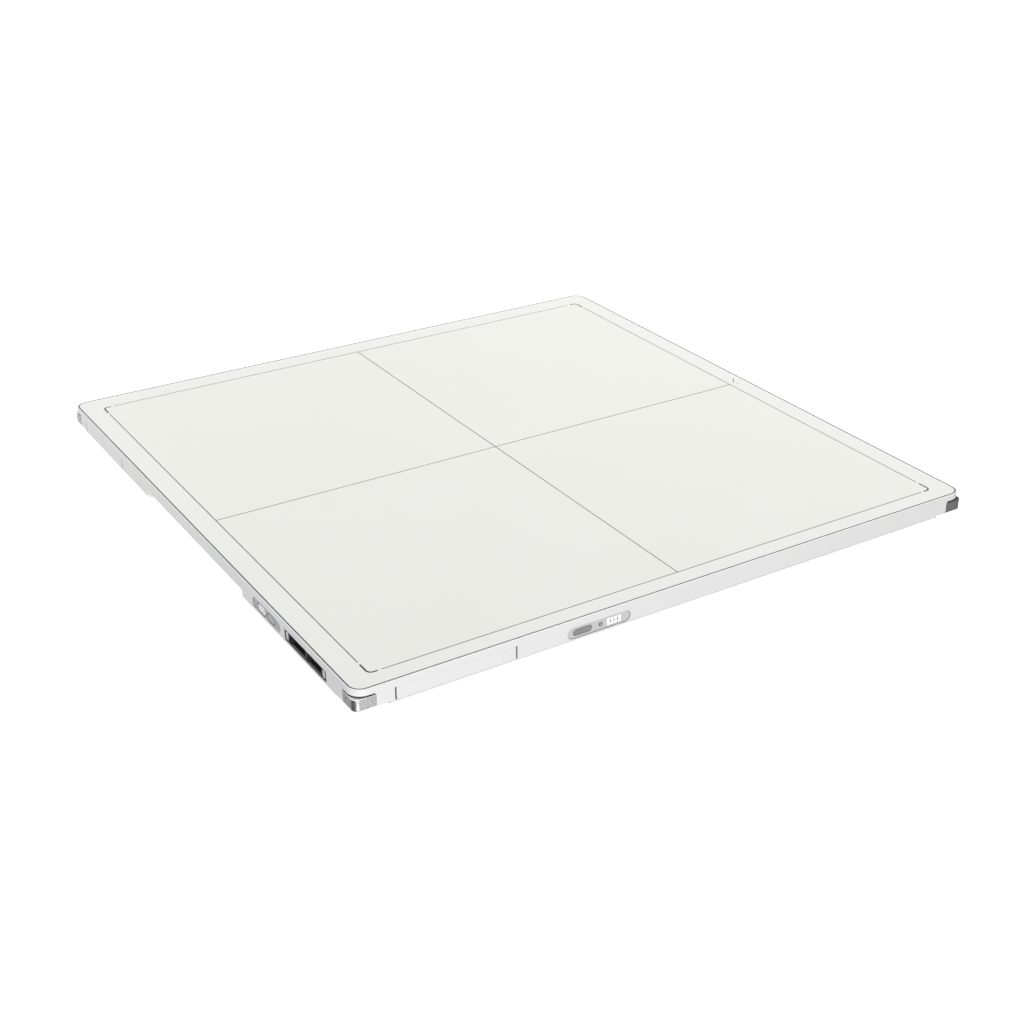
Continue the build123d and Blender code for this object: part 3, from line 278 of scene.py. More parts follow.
def flex_film(name, axis):
    """Amber film with copper tracks side by side, told by the axis that they cross."""
    made = Recipe(name, Coat_Weight=0.5, Coat_Roughness=0.1)
    across = made.axes()[axis]
    tracks = made.above(made.math("PINGPONG", across, 0.0004), 0.0002)
    patchy = made.ranged(made.noise(60, 2.0), 0.3, 0.7)
    film = made.blend(patchy, rgba(0.50, 0.22, 0.03), rgba(0.42, 0.17, 0.02))
    made.colour(made.blend(tracks, film, rgba(0.58, 0.30, 0.10)))
    made.roughness(made.noise(1200, 2.0), 0.22, 0.34)
    made.relief(tracks, 0.00002, 0.5)
    return made.material


def foil():
    """Aluminium foil of pouch cells, with the creases of its packing."""
    made = surface("cell_foil", grey(0.62), rgba(0.52, 0.53, 0.55), (0.25, 0.42), 220, 0.00008, metallic=0.9)
    made.relief(made.noise(38, 5.0), 0.0003, 0.35)
    return made.material


def foam():
    """Closed-cell foam."""
    first, second = rgba(0.050, 0.050, 0.053), rgba(0.070, 0.070, 0.072)
    made = surface("foam", first, second, (0.85, 0.95), 2000, 0.00003)
    made.relief(made.cells(1500), 0.0002, 0.8)
    return made.material


def sensor_glass():
    """Glass with the faint grid of the photodiode array and a green-blue sheen."""
    made = Recipe("sensor_glass", 0.2, Coat_Weight=1.0, Coat_Roughness=0.03, IOR=1.52)
    x, y, _ = made.axes()
    lines = [made.above(made.math("PINGPONG", axis, 0.0007), 0.00064) for axis in (x, y)]
    grid = made.math("MAXIMUM", *lines)
    patchy = made.ranged(made.noise(7, 1.0), 0.3, 0.7)
    body = made.blend(patchy, rgba(0.05, 0.09, 0.10), rgba(0.07, 0.08, 0.12))
    made.colour(made.blend(grid, body, rgba(0.15, 0.20, 0.20)))
    made.roughness(made.noise(300, 2.0), 0.08, 0.16)
    made.relief(grid, 0.00001, 0.3)
    return made.material


BARS_FROM_X = -64.0  # the light bars lie to the right of this, and the lamp to the left


def lamp_cover():
    """Milky moulding: lit bars, and a grey lamp that is off."""
    made = Recipe("light_guide", Emission_Strength=0.25)
    fine = made.noise(1800, 4.0)
    lit = made.above(made.axes()[0], BARS_FROM_X * MM)
    milky = made.blend(fine, grey(0.92), grey(0.86))
    made.colour(made.blend(lit, grey(0.50), milky))
    made.drive("Emission Color", made.blend(lit, grey(0.0), grey(1.0)))
    made.roughness(fine, 0.25, 0.35)
    made.relief(fine, 0.000005)
    return made.material


def lens_plastic():
    """Tinted clear plastic over a lamp."""
    first, second = rgba(0.42, 0.44, 0.48), rgba(0.36, 0.38, 0.42)
    return surface("lens_blue_grey", first, second, (0.12, 0.2), 900, 0.000004, Coat_Weight=0.6).material


MATERIALS = {
    "frame_white": frame_paint(),
    "face_white": face_film(),
    "seal_dark": moulded("cover_seal", grey(0.020), grey(0.028), (0.7, 0.85), 2200, 0.00001),
    "rear_white": moulded("rear_cover", grey(0.72), grey(0.70), (0.5, 0.62), 1400, 0.00003),
    "guard_metal": guard_metal(),
    "screw_steel": brushed("screw_steel", grey(0.52), grey(0.46), (0.25, 0.4), STREAK_UP),
    "window_white": moulded("window_paint", grey(0.80), grey(0.79), (0.38, 0.48), 1200, 0.00001),
    "board_green": circuit("board_green", rgba(0.010, 0.090, 0.035), rgba(0.030, 0.170, 0.060)),
    "chip_black": moulded("chip_black", grey(0.022), grey(0.030), (0.5, 0.65), 2500, 0.00001),
    "panel_grey": moulded("panel_grey", grey(0.60), grey(0.57), (0.4, 0.5), 1800, 0.00001),
    "button_dark": moulded("button_dark", grey(0.27), grey(0.25), (0.45, 0.55), 2000, 0.00001),
    "button_light": moulded("button_light", grey(0.90), grey(0.87), (0.4, 0.5), 2000, 0.00001),
    "light_guide": lamp_cover(),
    "lens_blue_grey": lens_plastic(),
    "connector_black": moulded("connector_black", grey(0.012), grey(0.018), (0.38, 0.5), 1800, 0.00001),
    "contact_gold": brushed(
        "contact_gold", rgba(0.78, 0.55, 0.22), rgba(0.68, 0.46, 0.17), (0.2, 0.32), STREAK_X
    ),
    "post_metal": brushed("post_metal", grey(0.95), grey(0.86), (0.42, 0.55), STREAK_X),
    "battery_grey": moulded("battery_shell", grey(0.62), grey(0.60), (0.55, 0.68), 1100, 0.00004),
    "cell_foil": foil(),
    "bay_plastic": moulded("bay_plastic", grey(0.030), grey(0.038), (0.5, 0.62), 1500, 0.00002),
    "latch_grey": moulded("latch_grey", grey(0.10), grey(0.09), (0.45, 0.58), 1800, 0.00002),
    "foam_grey": foam(),
    "scintillator_white": moulded(
        "scintillator", rgba(0.76, 0.80, 0.70), rgba(0.72, 0.77, 0.66), (0.6, 0.75), 3000, 0.00001
    ),
    "panel_glass": sensor_glass(),
    "lead_grey": brushed("lead_sheet", grey(0.16), grey(0.12), (0.45, 0.62), (0.03, 1.0, 1.0)),
    "plate_alloy": surface(
        "plate_alloy", grey(0.46), grey(0.40), (0.42, 0.55), 1300, 0.00003, metallic=0.85
    ).material,
    "flex_amber": flex_film("flex_amber_back", 0),
    "lead_black": moulded("lead_black", grey(0.025), grey(0.035), (0.5, 0.65), 2000, 0.00001),
}
FLEX_RIGHT = flex_film("flex_amber_right", 1)
POWER_PANEL = moulded("panel_grey_left", grey(0.47), grey(0.43), (0.4, 0.5), 1800, 0.00001)
INK = surface("print_ink", grey(0.030), grey(0.045), (0.45, 0.6), 2400, 0.000004).material
LIP_GREY = moulded("connector_lip", grey(0.24), grey(0.20), (0.45, 0.6), 1800, 0.00001)
CERAMIC = moulded(
    "capacitor_body", rgba(0.36, 0.24, 0.14), rgba(0.30, 0.20, 0.12), (0.5, 0.6), 3000, 0.00001
)
TIN = brushed("tinned_lead", grey(0.62), grey(0.55), (0.3, 0.42), STREAK_X)


def wear_materials():
    """Gives each CAD node the material of its slot in the record."""
    for piece in NODES.values():
        slot = piece.material_slots[0].material.name.split(".")[0]
        piece.data.materials.clear()
        piece.data.materials.append(MATERIALS[slot])
    NODES["gate_flexes"].data.materials[0] = FLEX_RIGHT
    NODES["power_bezel"].data.materials[0] = POWER_PANEL


# Mesh helpers


def finish_piece(name, shape, materials, body, replaced=()):
    """Turns a bmesh to an object that rides on a body."""
    bmesh.ops.recalc_face_normals(shape, faces=shape.faces)
    mesh = bpy.data.meshes.new(name)
    shape.to_mesh(mesh)
    shape.free()
    for material in materials:
        mesh.materials.append(material)
    piece = bpy.data.objects.new(name, mesh)
    bpy.context.scene.collection.objects.link(piece)
    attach(piece, body)
    if replaced:
        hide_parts(*replaced)


def dark_piece(name, shape, slot="seal_dark"):
    """Turns a bmesh to a small dark piece of the housing."""
    finish_piece(name, shape, [MATERIALS[slot]], "housing")


def strip(shape, points, wide, across, material=0, ring=False):
    """Adds a closed strip along a bent line. It is wide in the plane of its bends, and across is its other
    side. A ring's last point leads back to its first."""
    line = [Vector(point) for point in points]
    across = Vector(across)
    rims = []
    for at, point in enumerate(line):
        steps = []
        if at > 0 or ring:
            steps.append((point - line[at - 1]).normalized())
        if at < len(line) - 1 or ring:
            steps.append((line[(at + 1) % len(line)] - point).normalized())
        middle = sum(steps, Vector()).normalized()
        side = across.cross(middle).normalized() * (wide / 2 / middle.dot(steps[0]))
        corners = []
        for reach, lift in ((side, -0.5), (-side, -0.5), (-side, 0.5), (side, 0.5)):
            corners.append(shape.verts.new((point + reach + across * lift) * MM))
        rims.append(corners)
    faces = []
    for first, second in zip(rims, rims[1:] + rims[:1] if ring else rims[1:]):
        for at in range(4):
            after = (at + 1) % 4
            faces.append(shape.faces.new((first[at], first[after], second[after], second[at])))
    if not ring:
        faces.append(shape.faces.new(rims[0][::-1]))
        faces.append(shape.faces.new(rims[-1]))
    for face in faces:
        face.material_index = material


def soft_box(shape, low, high, bevel, material=0):
    """Adds a box with rounded edges between two corners."""
    low, high = Vector(low) * MM, Vector(high) * MM
    matrix = Matrix.Translation((low + high) / 2) @ Matrix.Diagonal((*(high - low), 1.0))
    made = bmesh.ops.create_cube(shape, size=1.0, matrix=matrix)
    faces = dict.fromkeys(face for vert in made["verts"] for face in vert.link_faces)
    for face in faces:
        face.material_index = material
    edges = list(dict.fromkeys(edge for vert in made["verts"] for edge in vert.link_edges))
    bmesh.ops.bevel(shape, geom=edges, offset=bevel * MM, segments=2, affect="EDGES", profile=0.5)


def turned(shape, rings, segments, matrix):
    """Adds a closed form round an axis. Each ring has a height and a function that gives its radius at an
    angle. The first and the last ring are closed by a point at their middle."""
    made = []
    for height, radius_at in rings:
        ring = []
        for step in range(segments):
            angle = math.tau * step / segments
            radius = radius_at(angle)
            place = Vector((radius * math.cos(angle), radius * math.sin(angle), height))
            ring.append(shape.verts.new((matrix @ place) * MM))
        made.append(ring)
    for first, second in zip(made, made[1:]):
        for at in range(segments):
            after = (at + 1) % segments
            shape.faces.new((first[at], first[after], second[after], second[at]))
    for ring, (height, _) in ((made[0], rings[0]), (made[-1], rings[-1])):
        middle = shape.verts.new((matrix @ Vector((0, 0, height))) * MM)
        for at in range(segments):
            shape.faces.new((ring[at], ring[(at + 1) % segments], middle))


def solids_of(node):
    """The lowest and highest corner of each separate solid of a CAD node, in millimetres."""
    shape = bmesh.new()
    shape.from_mesh(NODES[node].data)
    bmesh.ops.remove_doubles(shape, verts=shape.verts, dist=0.001 * MM)
    left = set(shape.verts)
    boxes = []
    while left:
        found = []
        waiting = [left.pop()]
        while waiting:
            vert = waiting.pop()
            found.append(vert.co / MM)
            for edge in vert.link_edges:
                other = edge.other_vert(vert)
                if other in left:
                    left.remove(other)
                    waiting.append(other)
        low = Vector([min(place[axis] for place in found) for axis in range(3)])
        high = Vector([max(place[axis] for place in found) for axis in range(3)])
        boxes.append((low, high))
    shape.free()
    return sorted(boxes, key=lambda box: tuple(round(value, 2) for value in box[0]))


# Screws with a six-lobe socket and a thread


THREAD_PITCH = 0.5
THREAD_DEEP = 0.12
HEAD_HIGH = 0.7
HEAD_EDGE = 0.15
SOCKET_SHARE = 0.5  # of the head's radius
SOCKET_LOBES = 6
SOCKET_LOBE = 0.14  # the lobes' height, as a share of the socket's radius
SOCKET_FLOOR = 0.96  # the floor's radius, as a share of the socket's
SOCKET_DEEP = 0.5
TIP_LONG = 0.3
TIP_SHARE = 0.55
STEPS_IN_PITCH = 4


def even(radius):
    return lambda angle: radius


def lobed(radius):
    return lambda angle: radius * (1 + SOCKET_LOBE * math.cos(SOCKET_LOBES * angle))


def threaded(radius, height):
    def radius_at(angle):
        turn = (height / THREAD_PITCH + angle / math.tau) % 1.0
        return radius - THREAD_DEEP * abs(2 * turn - 1)

    return radius_at


def screw(shape, head_r, shank_r, length, segments, matrix):
    """A screw whose head's face is at height 0 and whose tip points down."""
    socket_r = SOCKET_SHARE * head_r
    rings = [
        (-SOCKET_DEEP, lobed(socket_r * SOCKET_FLOOR)),
        (0.0, lobed(socket_r)),
        (0.0, even(head_r - HEAD_EDGE)),
        (-HEAD_EDGE, even(head_r)),
        (-HEAD_HIGH, even(head_r)),
        (-HEAD_HIGH, even(shank_r - THREAD_DEEP)),
    ]
    thread_long = length - HEAD_HIGH - TIP_LONG
    steps = int(thread_long / THREAD_PITCH * STEPS_IN_PITCH)
    for step in range(1, steps):
        height = -HEAD_HIGH - thread_long * step / steps
        rings.append((height, threaded(shank_r, height)))
    rings.append((TIP_LONG - length, even(shank_r - THREAD_DEEP)))
    rings.append((-length, even(shank_r * TIP_SHARE)))
    turned(shape, rings, segments, matrix)


# For each group of screws: the shank's radius, the segments round it, and the side that the heads face.
# None stands for the middle of the object.
SCREWS = {
    "rear_cover_screws": (0.95, 36, Vector((0, 0, -1))),
    "base_plate_screws": (0.95, 24, Vector((0, 0, 1))),
    "board_screws": (0.95, 24, Vector((0, 0, -1))),
    "corner_guard_screws": (0.60, 24, None),
}


def inward(middle, size):
    """The direction along a level box's long side towards the middle of the object."""
    axis = 0 if size.x > size.y else 1
    direction = Vector((0, 0, 0))
    direction[axis] = -math.copysign(1.0, middle[axis])
    return direction


def screws():
    for node, (shank_r, segments, faces) in SCREWS.items():
        shape = bmesh.new()
        for low, high in solids_of(node):
            size = high - low
            middle = (low + high) / 2
            side = faces or inward(middle, size)
            head_r = size.x / 2 if faces else min(size) / 2
            length = abs(size.dot(side))
            turn = side.to_track_quat("Z", "Y").to_matrix().to_4x4()
            matrix = Matrix.Translation(middle + side * length / 2) @ turn
            screw(shape, head_r, shank_r, length, segments, matrix)
        steel = [MATERIALS["screw_steel"]]
        finish_piece(f"{node}_threaded", shape, steel, "housing", [node])


# Chips with their leads, and the small parts beside them


LEAD_PITCH = 0.8
LEAD_WIDE = 0.36
LEAD_THICK = 0.15
LEAD_REACH = 1.0  # from the body's side to the lead's end
LEAD_BEND = 0.3  # where a lead bends down, from the body's side
LEAD_FOOT = 0.5  # where its foot starts
BARE_CHIP = 20.0  # a chip wider than this is soldered by balls under it and has no leads
SQUARE_WITHIN = 0.1  # a chip is square, with leads on all sides, if its sides differ by less
CHIP_BEVEL = 0.25
FLEX_CHIP_BEVEL = 0.15
PIN_MARK_IN = 1.6
PIN_MARK_R = 0.45
PIN_MARK_ROOT = 0.1  # how deep the mark starts in the chip
PIN_MARK_RINGS = ((0.0, 1.0), (0.11, 1.0), (0.13, 0.8))  # heights over the root, and shares of the radius
CAPACITOR = (1.6, 0.9, 0.8)
CAPACITOR_BEVEL = 0.05
CAPACITOR_SLIM = 0.03  # the body is this much slimmer than its caps
CAP_LONG = 0.35
CAP_BEVEL = 0.08
CAPACITOR_PITCH = 2.6
CAPACITOR_AWAY = 1.5
BOARD_CHIPS = ("main_board_chips", "readout_board_chips", "power_board_parts")
FLEX_CHIPS = ("readout_flex_chips", "gate_flex_chips")


def spread(middle, pitch, count):
    """The places of a row of equal parts about its middle."""
    return [middle + (step - (count - 1) / 2) * pitch for step in range(count)]


def leads(shape, low, high, axis):
    """Gull-wing leads on the two sides across one axis, from the body's middle up to the board."""
    along = 1 - axis
    count = int((high[along] - low[along] - 2 * LEAD_REACH) / LEAD_PITCH)
    level = (low.z + high.z) / 2
    foot = high.z - LEAD_THICK / 2
    for end, out in ((low[axis], -1), (high[axis], 1)):
        inner = end - out * LEAD_REACH
        bends = ((-LEAD_BEND, level), (LEAD_BEND, level), (LEAD_FOOT, foot), (LEAD_REACH, foot))
        for place in spread((low[along] + high[along]) / 2, LEAD_PITCH, count):
            points = []
            for reach, height in bends:
                point = Vector((place, place, height))
                point[axis] = inner + out * reach
                points.append(point)
            across = Vector((0, 0, 0))
            across[along] = LEAD_WIDE
            strip(shape, points, LEAD_THICK, across, 1)


def chip(shape, low, high):
    """A package that hangs under its board, with leads on two or four sides and a mark at its first pin."""
    size = high - low
    inset = Vector((0, 0, 0))
    if max(size.x, size.y) < BARE_CHIP:
        for axis in (0, 1):
            if size[axis] > size[1 - axis] - SQUARE_WITHIN:
                inset[axis] = LEAD_REACH
                leads(shape, low, high, axis)
    soft_box(shape, low + inset, high - inset, min(CHIP_BEVEL, size.z / 4))
    place = low + inset + Vector((PIN_MARK_IN, PIN_MARK_IN, PIN_MARK_ROOT))
    matrix = Matrix.Translation(place) @ Matrix.Rotation(math.pi, 4, "X")
    rings = [(height, even(PIN_MARK_R * share)) for height, share in PIN_MARK_RINGS]
    turned(shape, rings, 16, matrix)


def capacitor(shape, x, y, top):
    """A small part with a metal cap at each end."""
    wide, deep, high = CAPACITOR
    low = Vector((x - wide / 2, y - deep / 2, top - high))
    far = Vector((x + wide / 2, y + deep / 2, top))
    inset = Vector((CAP_LONG / 2, CAPACITOR_SLIM, CAPACITOR_SLIM))
    soft_box(shape, low + inset, far - inset, CAPACITOR_BEVEL)
    soft_box(shape, low, (low.x + CAP_LONG, far.y, far.z), CAP_BEVEL, 1)
    soft_box(shape, (far.x - CAP_LONG, low.y, low.z), far, CAP_BEVEL, 1)


def board_parts():
    small = bmesh.new()
    for node in BOARD_CHIPS:
        shape = bmesh.new()
        for low, high in solids_of(node):
            chip(shape, low, high)
            count = int((high.x - low.x) / CAPACITOR_PITCH)
            for x in spread((low.x + high.x) / 2, CAPACITOR_PITCH, count):
                capacitor(small, x, low.y - CAPACITOR_AWAY, high.z)
                capacitor(small, x, high.y + CAPACITOR_AWAY, high.z)
        materials = [MATERIALS["chip_black"], TIN]
        finish_piece(f"{node}_with_leads", shape, materials, "housing", [node])
    finish_piece("board_capacitors", small, [CERAMIC, TIN], "housing")
    for node in FLEX_CHIPS:
        shape = bmesh.new()
        for low, high in solids_of(node):
            soft_box(shape, low, high, FLEX_CHIP_BEVEL)
        finish_piece(f"{node}_bevelled", shape, [MATERIALS["chip_black"]], "housing", [node])


# Printed lines on the imaging face, as thin closed strips of ink


INK_THICK = 0.04
LINE_WIDTH = 0.6
MARK_WIDTH = 1.2
MARK_LEGS = (5.8, 10.6)
MARK_R = 3.2
LINE_FROM = (8.2, 13.0)  # from a corner of the frame to the start of its lines along x and y
SIDE_TICK = (((222.9, 5.6), (218.4, -1.0)), ((219.4, -3.7), (221.4, -3.7)))


def rounded_corner(corner, signs, radius, legs, steps=8):
    """The points of an L with a round corner. Its legs run along x and y, to the sides that signs gives."""
    (x, y), (sign_x, sign_y) = corner, signs
    points = [(x + sign_x * legs[0], y)]
    for step in range(steps + 1):
        turn = math.pi / 2 * step / steps
        step_x, step_y = 1 - math.sin(turn), 1 - math.cos(turn)
        points.append((x + sign_x * radius * step_x, y + sign_y * radius * step_y))
    points.append((x, y + sign_y * legs[1]))
    return points


def printed(name, lines, width):
    """A printed piece of thin closed strips of ink along lines on the imaging face."""
    shape = bmesh.new()
    for line in lines:
        strip(shape, [(point[0], point[1], FACE) for point in line], width, (0, 0, INK_THICK))
    finish_piece(name, shape, [INK], "housing")


def printed_frame():
    (left, right), (front, back) = PRINT_X, PRINT_Y
    from_x, from_y = LINE_FROM
    middle_x, middle_y = sum(PRINT_X) / 2, sum(PRINT_Y) / 2
    lines = [
        ((left + from_x, front), (right - from_x, front)),
        ((left + from_x, back), (right - from_x, back)),
        ((left, front + from_y), (left, back - from_y)),
        ((right, front + from_y), (right, back - from_y)),
        ((middle_x, front), (middle_x, back)),
        ((left, middle_y), (right, middle_y)),
    ]
    printed("printed_frame_lines", lines, LINE_WIDTH)
    marks = []
    for x, sign_x in ((left, 1), (right, -1)):
        for y, sign_y in ((front, 1), (back, -1)):
            marks.append(rounded_corner((x, y), (sign_x, sign_y), MARK_R, MARK_LEGS))
    printed("printed_corner_marks", marks, MARK_WIDTH)
    printed("printed_side_tick", SIDE_TICK, LINE_WIDTH)


# Painted shadow above the corner guards: dark strips over the pads, across the gap to the frame and the wall
# just above it


GAP_SHADOW_UP = (9.88, 10.85)
GAP_SHADOW_DEPTH = (-0.06, 0.3)  # below the frame's outer face
GAP_SHADOW_FROM = 216.6
GAP_SHADOW_STEPS = 20
CORNER_R = 9.0


def paint_guard_gap_shadows():
    # Each strip paints the shadow of the gap above a guard.
    shape = bmesh.new()
    up = sum(GAP_SHADOW_UP) / 2
    middle = HALF - sum(GAP_SHADOW_DEPTH) / 2
    reach = middle - GAP_SHADOW_FROM
    radius = CORNER_R - sum(GAP_SHADOW_DEPTH) / 2
    for sign_x in (-1, 1):
        for sign_y in (-1, 1):
            corner = (sign_x * middle, sign_y * middle)
            line = rounded_corner(corner, (-sign_x, -sign_y), radius, (reach, reach), GAP_SHADOW_STEPS)
            points = [(x, y, up) for x, y in line]
            strip(shape, points, GAP_SHADOW_DEPTH[1] - GAP_SHADOW_DEPTH[0], (0, 0, GAP_SHADOW_UP[1] - GAP_SHADOW_UP[0]))
    dark_piece("corner_guard_gap_shadows", shape)


# Small parts in the walls: the marks of the panels, painted shade round the panels and in the windows'
# grooves, and the connector's lips


# A range or a place is first along a wall, to the right as seen from outside, and then up. DEEP is how far a
# part's middle lies below the wall's outer face, and BY how far the middle line of a strip of painted shade
# lies outside an outline.
SHADE_STRIP_WIDE = 0.34
STRIP_THICK = 0.12
BEZEL_SHADE_DEEP = 0.1
PANEL_DEEP = 0.15
STATUS_BEZEL = ((-90.4, -45.2), (2.3, 9.9))
STATUS_BEZEL_BY = -0.05
STATUS_LAMP = (-66.7, 6.1)
LAMP_RING_R = 1.1
LAMP_RING_WIDE = 0.5
LIGHT_GAPS = (-59.68, -57.05, -54.42)
LIGHT_GAP_UP = (5.2, 7.2)
LIGHT_GAP_WIDE = 0.6
POWER_BEZEL = ((96.5, 135.9), (3.3, 10.5))
POWER_BEZEL_BY = -0.1
POWER_BUTTON = ((104.2, 114.8), (4.3, 9.5))
POWER_BUTTON_BY = 0.4
POWER_LENS = ((117.4, 127.8), (4.3, 9.5))
POWER_LENS_BY = 0.15
POCKETS = ((148.4, 168.8), (170.6, 189.4))
POCKET_LIP_IN = 0.1
POCKET_LIP_UP = 3.05
POCKET_LIP_WIDE = 0.1
POCKET_LIP_DEEP = 0.85
POCKET_LIP_THICK = 1.6
POSTS = (144.8, 192.8)
POST_MIDDLE_UP = 6.8
POST_SIZE = (4.6, 6.0)
POST_LIP = (0.12, 0.68)  # from the post's side
POST_LIP_DEEP = 0.18
POST_LIP_THICK = 0.2
WINDOWS = {"front": (-204.5, -124.9), "left": (-205.0, -129.0)}
WINDOW_UP = (2.1, 10.3)
WINDOW_SHADE_IN = 0.45
WINDOW_SHADE_WIDE = 0.8
WINDOW_SHADE_DEEP = 0.55
WINDOW_SHADE_THICK = 0.9


def on_wall(wall, along, up, depth):
    """A place in the front or the left wall."""
    return (along, depth - HALF, up) if wall == "front" else (depth - HALF, -along, up)


def wall_strip(shape, wall, line, wide, depth, thick=STRIP_THICK, ring=False):
    """A strip in a wall's plane, along points that each have a place along the wall and up."""
    across = (0, thick, 0) if wall == "front" else (thick, 0, 0)
    points = [on_wall(wall, along, up, depth) for along, up in line]
    strip(shape, points, wide, across, ring=ring)


def arc(middle, radius, first, last, steps):
    """Points on a circle in a wall between two angles in degrees, counter-clockwise from its right end."""
    turns = [math.radians(first + (last - first) * step / steps) for step in range(steps + 1)]
    return [(middle[0] + radius * math.cos(turn), middle[1] + radius * math.sin(turn)) for turn in turns]


def oval_end(oval, by, right, first, last, steps=12):
    """Points round one end of an oval with round ends, this much outside it."""
    (left, far), (low, high) = oval
    radius = (high - low) / 2
    middle = (far - radius if right else left + radius, (low + high) / 2)
    return arc(middle, radius + by, first, last, steps)


def round_oval(oval, by):
    return oval_end(oval, by, True, -90, 90) + oval_end(oval, by, False, 90, 270)


def round_post(along):
    """Points of an upright oval round a guide post, along the middle of the lip that surrounds it."""
    wide, high = POST_SIZE
    radius = (wide + sum(POST_LIP)) / 2
    rise = (high - wide) / 2
    upper = arc((along, POST_MIDDLE_UP + rise), radius, 0, 180, 12)
    return upper + arc((along, POST_MIDDLE_UP - rise), radius, 180, 360, 12)


def status_panel():
    shape = bmesh.new()
    # An open dark strip along the bezel's lower edge and its right end: painted shade in the gap round the
    # bezel.
    left = oval_end(STATUS_BEZEL, STATUS_BEZEL_BY, False, 235, 270, 4)
    right = oval_end(STATUS_BEZEL, STATUS_BEZEL_BY, True, -90, 60)
    wall_strip(shape, "front", left + right, SHADE_STRIP_WIDE, BEZEL_SHADE_DEEP)
    dark_piece("status_bezel_painted_shade", shape)
    shape = bmesh.new()
    ring = arc(STATUS_LAMP, LAMP_RING_R, 0, 345, 23)
    wall_strip(shape, "front", ring, LAMP_RING_WIDE, PANEL_DEEP, ring=True)
    for along in LIGHT_GAPS:
        wall_strip(shape, "front", [(along, up) for up in LIGHT_GAP_UP], LIGHT_GAP_WIDE, PANEL_DEEP)
    dark_piece("status_panel_marks", shape)


def power_panel():
    shape = bmesh.new()
    # Dark rings round the button and the lens, and a dark arc round the bezel's left end: painted shade in
    # the gaps round them.
    for outline, by in ((POWER_BUTTON, POWER_BUTTON_BY), (POWER_LENS, POWER_LENS_BY)):
        wall_strip(shape, "left", round_oval(outline, by), SHADE_STRIP_WIDE, PANEL_DEEP, ring=True)
    bezel_end = oval_end(POWER_BEZEL, POWER_BEZEL_BY, False, 100, 270)
    wall_strip(shape, "left", bezel_end, SHADE_STRIP_WIDE, BEZEL_SHADE_DEEP)
    dark_piece("power_panel_painted_shade", shape)


def connector():
    shape = bmesh.new()
    for low, high in POCKETS:
        line = [(low + POCKET_LIP_IN, POCKET_LIP_UP), (high - POCKET_LIP_IN, POCKET_LIP_UP)]
        wall_strip(shape, "left", line, POCKET_LIP_WIDE, POCKET_LIP_DEEP, POCKET_LIP_THICK)
    finish_piece("connector_lower_lips", shape, [LIP_GREY], "housing")
    shape = bmesh.new()
    wide = POST_LIP[1] - POST_LIP[0]
    for along in POSTS:
        wall_strip(shape, "left", round_post(along), wide, POST_LIP_DEEP, POST_LIP_THICK, ring=True)
    dark_piece("guide_post_lips", shape, "connector_black")


def paint_window_groove_shade():
    # Dark strips in the grooves at the windows' ends: painted shade in the grooves.
    shape = bmesh.new()
    for wall, (first, last) in WINDOWS.items():
        for along in (first + WINDOW_SHADE_IN, last - WINDOW_SHADE_IN):
            line = [(along, up) for up in WINDOW_UP]
            wall_strip(shape, wall, line, WINDOW_SHADE_WIDE, WINDOW_SHADE_DEEP, WINDOW_SHADE_THICK)
    dark_piece("window_groove_painted_shade", shape)


# Camera, floor and light


CAMERA_PLACE = (-546.6, -896.22, 506.09)
CAMERA_TURN = 32.100  # degrees from +Y towards +X
CAMERA_DOWN = 27.431
CAMERA_ROLL = 0.032
IMAGE = 1024
FOCAL = 1621.1  # in pixels of the image
SENSOR = 36.0
FLOOR_SIZE = 12.0
FLOOR_GLOW = 1.0
FLOOR_UP = -24.0  # just below the battery when it is drawn out

# Each light's name, its angles round the object and up, its distance, its size and its power
LIGHTS = (
    ("key", -23, 10, 3.18, 2.0, 78.5),
    ("fill", 121, 58, 2.3, 1.4, 37.5),
    ("side", 248, 16, 0.95, 0.4, 1.97),
)

# The room is white to the camera and an even light. What shiny surfaces reflect of it is pale walls above the
# horizon, and below it a dark table and two bright cards. Each card faces the object from an angle round it
# and has the cosine of the angle at which it fades out, and its brightness.
WORLD_LIGHT = 0.30
ROOM_BRIGHT = 0.55
TABLE_DARK = 0.12
CARDS = ((4.0, 0.76, 1.6), (185.0, 0.80, 1.35))


def camera():
    data = bpy.data.cameras.new("camera")
    data.sensor_width = SENSOR
    data.lens = SENSOR * FOCAL / IMAGE
    data.clip_start = 0.01
    data.clip_end = 100.0
    made = bpy.data.objects.new("camera", data)
    turn = Matrix.Rotation(math.radians(-CAMERA_TURN), 4, "Z")
    tilt = Matrix.Rotation(math.radians(90 - CAMERA_DOWN), 4, "X")
    roll = Matrix.Rotation(math.radians(CAMERA_ROLL), 4, "Z")
    made.matrix_world = Matrix.Translation(Vector(CAMERA_PLACE) * MM) @ turn @ tilt @ roll
    bpy.context.scene.collection.objects.link(made)
    bpy.context.scene.camera = made


def floor():
    """A pale floor. It casts no light back, because the photograph's walls show no light from below."""
    shape = bmesh.new()
    bmesh.ops.create_grid(shape, x_segments=1, y_segments=1, size=FLOOR_SIZE)
    mesh = bpy.data.meshes.new("floor")
    shape.to_mesh(mesh)
    shape.free()
    made = Recipe("floor", Roughness=0.9, Specular_IOR_Level=0.0, Emission_Strength=FLOOR_GLOW)
    made.shader.inputs["Emission Color"].default_value = grey(1.0)
    made.colour(made.blend(made.noise(3, 2.0), grey(0.50), grey(0.49)))
    mesh.materials.append(made.material)
    piece = bpy.data.objects.new("floor", mesh)
    piece.location.z = FLOOR_UP * MM
    piece.visible_diffuse = False
    piece.visible_glossy = False
    piece.visible_shadow = False
    bpy.context.scene.collection.objects.link(piece)


